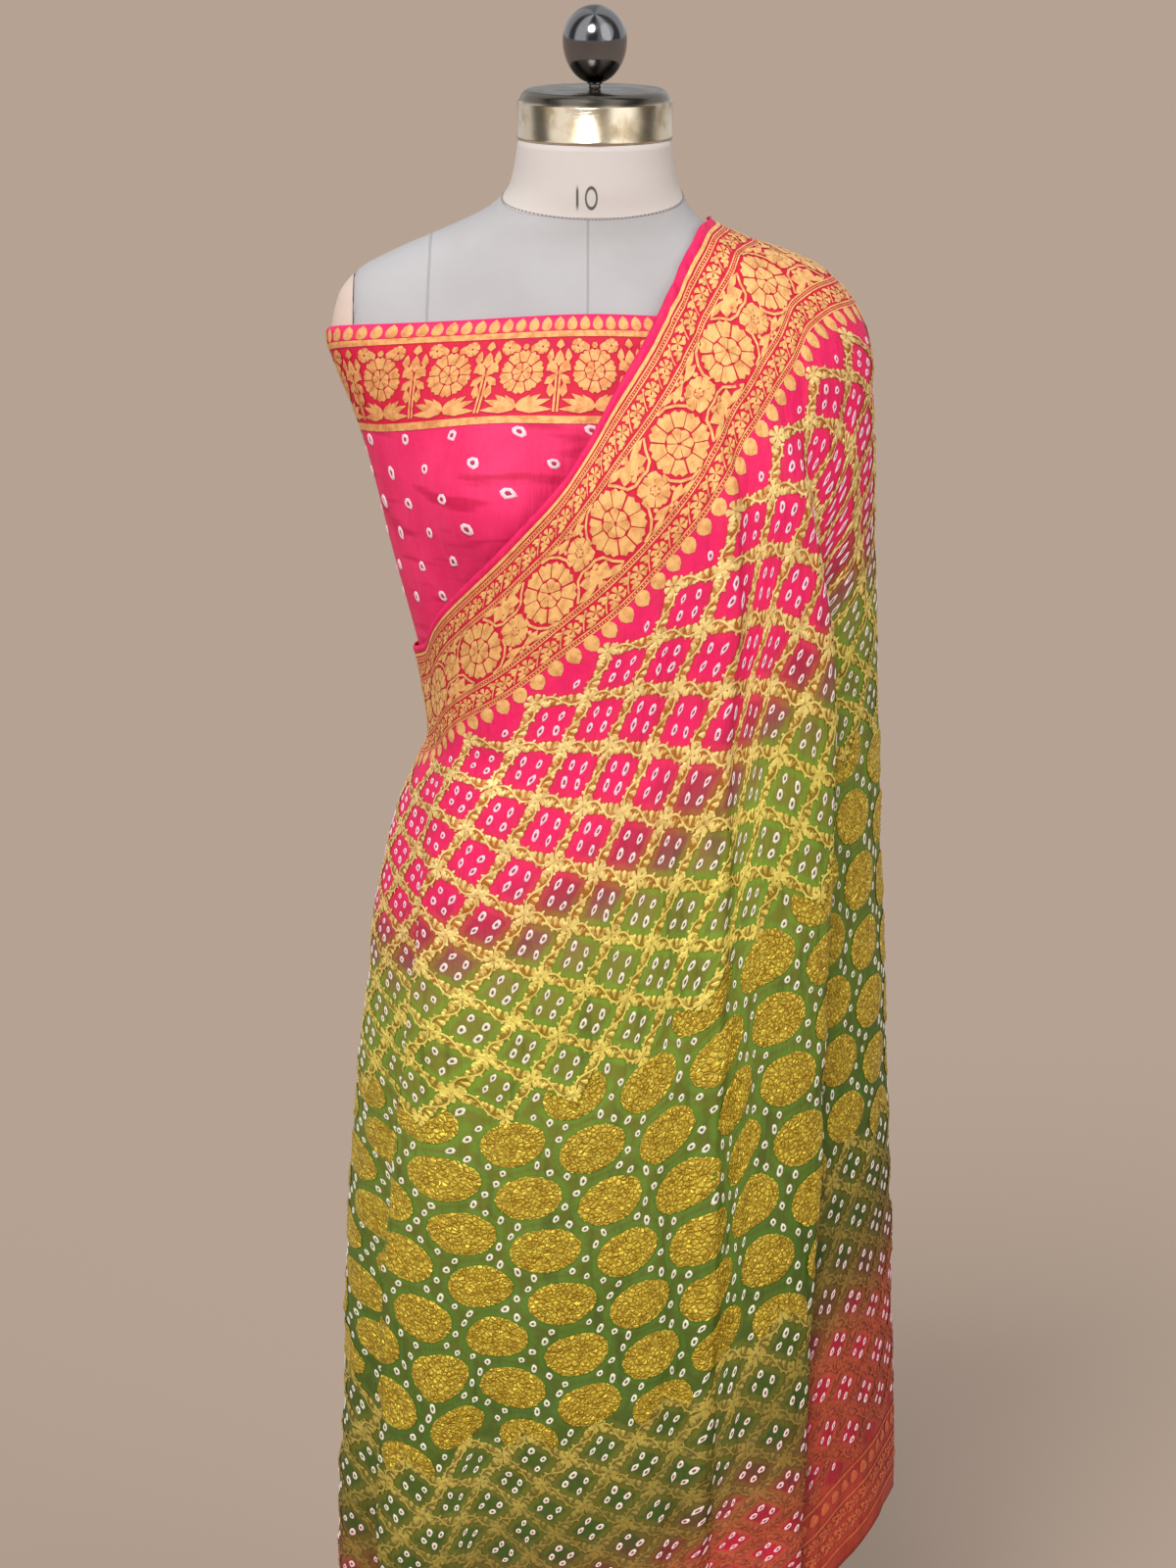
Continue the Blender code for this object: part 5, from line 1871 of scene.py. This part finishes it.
upper_dots = lay_dots("tied_dots_upper", sari, dot_plan(FIELD_TOP, GRID_ROWS), 3, 0.0007)
middle_dots = lay_dots("tied_dots_middle", sari, zigzag_plan(), 4)
lower_dots = lay_dots("tied_dots_lower", sari, dot_plan(LOWER_TOP, LOWER_ROWS), 5)

# %% [markdown]
# ## The border
#
# The upper edge carries a brocade border: a plain pink selvedge, a solid line, dotted chains, a
# narrow band of small flowers on each side of the main band of large flowers, and a row of drops
# that points into the field. It repeats along the cloth, so each band is one figure, laid in a row.
# The next cell draws the main band, and the one after it the narrow band and its neighbours.

# %% The main band
Leaf = namedtuple("Leaf", "x y turn length width bend", defaults=(0.0,))
BORDER_LEAVES = [
    Leaf(12.6, 20.4, -4, 18, 4.6, -1.0),
    Leaf(51.4, 20.4, 184, 18, 4.6, 1.0),
    Leaf(20.0, 11.2, 34, 14.5, 8.4, -2.0),
    Leaf(44.0, 11.2, 146, 14.5, 8.4, 2.0),
    Leaf(32.0, 8.6, 90, 13, 9.0),
    Leaf(25.6, 9.4, -10, 6, 3.6, 1.5),
    Leaf(38.4, 9.4, 190, 6, 3.6, -1.5),
    Leaf(18.4, -15.8, -20, 13, 6.2, 2.5),
    Leaf(45.6, -15.8, 200, 13, 6.2, -2.5),
    Leaf(23.0, -1.4, 60, 8, 5.0, -1.5),
    Leaf(41.0, -1.4, 120, 8, 5.0, 1.5),
    Leaf(12.0, -21.0, 4, 15, 3.4, 1.0),
    Leaf(52.0, -21.0, 176, 15, 3.4, -1.0),
]
LOW_STEM = [(5, -21), (12, -19.6), (18, -14.5), (21.5, -8.5), (21.6, -3.0)]
HIGH_STEM = [(12, 20), (17, 14.5), (20.5, 8.5), (26, 6.2), (32, 6.8)]
BORDER_BERRIES = [(30.2, 21.0), (33.8, 21.0), (32.0, -19.0), (29.4, -20.6), (34.6, -20.6)]
BORDER_BERRIES += [(23.6, -13.0), (40.4, -13.0)]
BORDER_PITCH = 0.0640
SMALL_FLOWER = (32, -5.0)
EDGE = 0.4  # millimetres of ground round what crosses something else

# A ring of a large flower's petals: the shares of its radius where a petal starts and ends.
Petals = namedtuple("Petals", "count starts ends notch root")


def rosette(figure, x, y, radius, outer=10, inner=7, turn=0.0, tone=0.12):
    """A double flower, as uneven as a woven one. Thin gaps between its petals show the ground."""
    rng = np.random.default_rng(0)
    outer_ring = Petals(outer, (0.45, 0.49), (0.97, 1.03), 0.17, 0.5)
    inner_ring = Petals(inner, (0.03, 0.08), (0.42, 0.47), 0.0, 0.15)
    for ring in (outer_ring, inner_ring):
        for k in range(ring.count):
            start, end = radius * rng.uniform(*ring.starts), radius * rng.uniform(*ring.ends)
            wide = 2 * math.pi * 0.89 * radius * ring.ends[0] / ring.count - 0.35
            heading = turn + 360 * (k + rng.uniform(-0.03, 0.03)) / ring.count
            figure.petal(x, y, heading, start, end - start, wide, tone, ring.notch, root=ring.root)


def across(points, middle):
    """The same points on the other side of a line down the figure."""
    return [(2 * middle - x, y) for x, y in points]


def main_repeat():
    """One repeat of the main band: a large flower, a small one, and the vine between them."""
    figure = Figure()
    x, y = SMALL_FLOWER
    rosette(figure, 0, 0.5, 20.6)
    figure.flower(x, y, 6, 3.0, 7.2, 9.0, 10, 0.15, 0.14, 0.4)
    figure.flower(x, y, 5, 0.3, 2.6, 2.6, 10, 0.1)
    figure.edge = EDGE
    figure.stem(LOW_STEM, 1.7, 0.1)
    figure.stem(across(LOW_STEM, x), 1.7, 0.1)
    figure.stem(HIGH_STEM + across(HIGH_STEM[3::-1], x), 1.7, 0.1)
    for leaf in BORDER_LEAVES:
        figure.leaf(*leaf[:5], 0.12, leaf.bend)
    for x, y in BORDER_BERRIES:
        figure.berry(x, y, 1.5, 0.15)
    return figure


print("main repeat:", len(main_repeat().faces), "faces")

# %% The narrow band and its neighbours
NARROW_PITCH = 0.0180
CHAIN_LONG, CHAIN_PITCH = 22.0, 2.2
NARROW_STEM = [(4.8, -5.2), (6.6, -2.2), (8.6, 0.4), (11.0, 3.0), (13.6, 4.9)]
NARROW_LEAVES = [
    Leaf(4.6, 5.0, -16, 8.0, 3.0),
    Leaf(5.6, 1.8, -6, 5.0, 2.8),
    Leaf(9.8, -0.4, -40, 5.4, 3.0),
    Leaf(7.2, -4.6, 0, 8.0, 3.0),
    Leaf(11.2, 1.6, 6, 4.6, 2.6),
]


def narrow_repeat():
    """One repeat of a narrow band: a small flower, a few leaves and a few berries."""
    figure = Figure()
    figure.flower(0, 0, 5, 1.0, 4.2, 4.0, 20, 0.15)
    figure.berry(0, 0, 0.9, 0.5, height=0.9)
    figure.stem(NARROW_STEM, 0.9, 0.2)
    for leaf in NARROW_LEAVES:
        figure.leaf(*leaf[:5], 0.12)
    for x, y in ((-4.9, 4.6), (-4.7, -4.8), (4.4, -2.0), (13.8, -1.6)):
        figure.berry(x, y, 1.1, 0.15)
    return figure


def drop():
    """A plump drop that points down, away from the border."""
    outline = [(0, 6.0), (-3.0, 5.3), (-4.8, 3.0), (-5.0, -0.2), (-3.4, -3.6), (0, -6.4)]
    outline += [(-x, y) for x, y in outline[4:0:-1]]
    figure = Figure()
    verts = [(x, y, 0.1) for x, y in outline] + [(0, 3.0, 0.7), (0, -1.5, 0.7)]
    faces = [(0, 1, 10), (1, 2, 10), (2, 3, 11, 10), (3, 4, 11), (4, 5, 11)]
    faces += [(5, 6, 11), (6, 7, 11), (7, 8, 10, 11), (8, 9, 10), (9, 0, 10)]
    figure.shape(verts, faces, tone=0.1)
    return figure


def band_line(figure, y, width, tone):
    """A short length of a solid line, some way from the band's middle."""
    xs = np.linspace(0, CHAIN_LONG, 6)
    figure.stem(np.stack([xs, np.full_like(xs, y)], axis=1), width, tone, 0.4)
    return figure


def chain():
    """A short length of a dotted row between two lines."""
    figure = Figure()
    for y in (-1.5, 1.5):
        band_line(figure, y, 0.9, 0.1)
    for x in np.arange(CHAIN_PITCH / 2, CHAIN_LONG, CHAIN_PITCH):
        lozenge = [(x - 0.8, 0.0, 0.3), (x, -0.65, 0.5), (x + 0.8, 0.0, 0.3), (x, 0.65, 0.5)]
        figure.shape(lozenge, [(0, 1, 2, 3)])
    return figure


LARGE, LARGE_UPSIDE_DOWN, NARROW, CHAIN, DROP, LINE = range(6)
border_figures = [main_repeat(), main_repeat().mirrored(), narrow_repeat(), chain(), drop()]
border_figures.append(band_line(Figure(), 0.0, 2.6, 0.0))
print("border figures:", len(border_figures))

# %% The border in place
CLOTH_LEFT, CLOTH_RIGHT = -0.99, 1.13
FLOWER_SHIFT = 0.008
FLOWERS_DOWN, FLOWERS = 0.0540, 34
LINE_PITCH = CHAIN_LONG / 1000
DROP_PITCH = 0.0135


def row_of(kind, down, pitch, turn=0.0):
    """A row of one figure all along the cloth."""
    count = int((CLOTH_RIGHT - CLOTH_LEFT) / pitch)
    return [(CLOTH_LEFT + pitch * k, -down, kind, turn, 1.0) for k in range(count)]


def border_plan():
    plan = row_of(LINE, 0.0078, LINE_PITCH)
    for down in (0.0125, 0.0305, 0.0775, 0.0945):
        plan += row_of(CHAIN, down, LINE_PITCH)
    for down in (0.0212, 0.0862):
        plan += row_of(NARROW, down, NARROW_PITCH)
    start = round(CLOTH_LEFT / BORDER_PITCH)
    for k in range(start, start + FLOWERS):
        kind = (LARGE, LARGE_UPSIDE_DOWN)[k % 2]
        plan.append((k * BORDER_PITCH + FLOWER_SHIFT, -FLOWERS_DOWN, kind, 0.0, 1.0))
    return plan + row_of(DROP, 0.1018, DROP_PITCH)


def hem_plan():
    """Fainter drops and lines in the same weave along the hem, pointing up."""
    plan = row_of(DROP, 0.9040, DROP_PITCH, 180.0)
    for down in (0.8930, 0.9180, 0.9560):
        plan += row_of(LINE, down, LINE_PITCH)
    for down in (0.9270, 0.9420):
        plan += row_of(NARROW, down, NARROW_PITCH)
    return plan


border = lay("gold_border", sari, border_figures, border_plan(), border_gold)
hem = lay("hem_border", sari, border_figures, hem_plan(), hem_gold)

# %% [markdown]
# ## The blouse cloth's border
#
# The blouse border has its own design: drops that point up, a solid line, a wide band of flowers
# that rise between leaf fans, and another solid line. Below it the pink silk has single dots.


# %% Blouse figures
BLOUSE_PITCH = 0.0540
FAN = ((8, 23, 6.0), (28, 23, 6.6), (48, 19, 6.6), (70, 13.5, 6.0), (92, 9.5, 5.0))
SIDE_LEAVES = [  # turned away from upright by turn, on both sides of the flower
    Leaf(17.5, -6.0, 56, 11.0, 6.0, 1.5),
    Leaf(17.8, 3.5, 50, 10.5, 6.2, 1.5),
    Leaf(19.6, 10.0, 6, 10.0, 5.6),
    Leaf(4.4, 17.8, 34, 8.5, 5.2),
]
TALL_LEAVES = [
    Leaf(27, 1.0, 133, 14.5, 6.0, -2.5),
    Leaf(27, 1.0, 47, 14.5, 6.0, 2.5),
]


def blouse_repeat():
    """One repeat of the blouse border's wide band, 54 mm square, about its middle."""
    figure = Figure()
    rosette(figure, 0, 3, 16.4, 10, 7, 18)
    figure.edge = EDGE
    for x in (-1.3, 1.3):
        figure.stem([(27 + x, y) for y in (-27, -20, -14, -8, -2, 4)], 1.5, 0.2)
    for side in (-1, 1):
        figure.leaf(side * 22.5, -16.0, 90 - side * 4, 11.0, 6.0, 0.2, side * 1.5)
        for turn, length, width in FAN:
            heading = turn if side > 0 else 180 - turn
            figure.leaf(side * 1.8, -25.8, heading, length, width, 0.12, -side * 2.5)
        for leaf in SIDE_LEAVES:
            turn = 90 - side * leaf.turn
            figure.leaf(side * leaf.x, leaf.y, turn, leaf.length, leaf.width, 0.2, side * leaf.bend)
        figure.edge = 0.0
        figure.flower(side * 13.0, 21.6, 6, 0.8, 4.8, 4.6, 20, 0.15)
        figure.edge = EDGE
    figure.berry(0, 22.0, 2.4, 0.3)
    for leaf in TALL_LEAVES:
        figure.leaf(*leaf[:5], 0.2, leaf.bend)
    figure.leaf(27, 7.0, 90, 12.0, 8.0, 0.1)
    figure.leaf(27, 19.6, 90, 7.4, 6.4, 0.2)
    return figure


blouse_figures = [blouse_repeat(), drop()]
blouse_figures += [band_line(Figure(), 0.0, width, 0.2) for width in (4.4, 5.6)]
print("blouse repeat:", len(blouse_figures[0].faces), "faces")

# %% Blouse cloth in place
BLOUSE_DROP_PITCH, BLOUSE_DROP_SIZE = 0.0107, 0.84
BLOUSE_DOT_SIZE = 1.9
BLOUSE_DOT_PITCH, BLOUSE_DOT_ROWS, BLOUSE_DOT_DROP = 0.0470, 6, 0.0240


def blouse_border_plan():
    left = float(blouse_flat[..., 0].min()) - 0.03
    start = math.floor(left / BLOUSE_PITCH)
    repeats = range(start, start + int(blouse_length / BLOUSE_PITCH) + 2)
    plan = [(k * BLOUSE_PITCH, -0.0450, 0, 0.0, 1.0) for k in repeats]
    for k in range(int(blouse_length / BLOUSE_DROP_PITCH) + 4):
        plan.append((left + BLOUSE_DROP_PITCH * k, -0.0066, 1, 180.0, BLOUSE_DROP_SIZE))
    lines = int(blouse_length * 1000 / CHAIN_LONG) + 4
    for down, kind in ((0.0142, 2), (0.0778, 3)):
        plan += [(left + LINE_PITCH * k, -down, kind, 0.0, 1.0) for k in range(lines)]
    return plan


def blouse_dot_plan():
    """Single dots in staggered rows below the border, each a little out of line."""
    rng = np.random.default_rng(8)
    plan = []
    for row in range(BLOUSE_DOT_ROWS):
        for k in range(-11, 11):
            x = (k + 0.5 * (row % 2)) * BLOUSE_DOT_PITCH + rng.uniform(-0.002, 0.002)
            y = -0.0870 - row * BLOUSE_DOT_DROP + rng.uniform(-0.0015, 0.0015)
            plan.append((x, y, rng.integers(3), rng.uniform(35, 70), BLOUSE_DOT_SIZE))
    return plan


blouse_length = float(np.ptp(blouse_flat[..., 0]))
blouse_border = lay("blouse_gold_border", blouse, blouse_figures, blouse_border_plan(), blouse_gold)
blouse_dots = lay_dots("blouse_tied_dots", blouse, blouse_dot_plan(), 7)

# %% [markdown]
# ## Thickening the cloth
#
# Each sheet gets its thickness last, because the figures were laid on its middle. Every piece rides
# on the part's one body.

# %% Finish
SARI_THICKNESS, BLOUSE_THICKNESS = 0.0010, 0.0009


def thicken(piece, thickness):
    wall = piece.modifiers.new("thickness", "SOLIDIFY")
    wall.thickness = thickness
    wall.offset = 0.0


thicken(sari, SARI_THICKNESS)
thicken(blouse, BLOUSE_THICKNESS)
settle(sari, "dyed_brocade", "sari")
settle(blouse, "pink_brocade", "blouse_cloth")
for piece in (vines, medallions, lower_vines, border, hem, upper_dots, middle_dots, lower_dots):
    settle(piece, "dyed_brocade")
for piece in (blouse_border, blouse_dots):
    settle(piece, "pink_brocade")
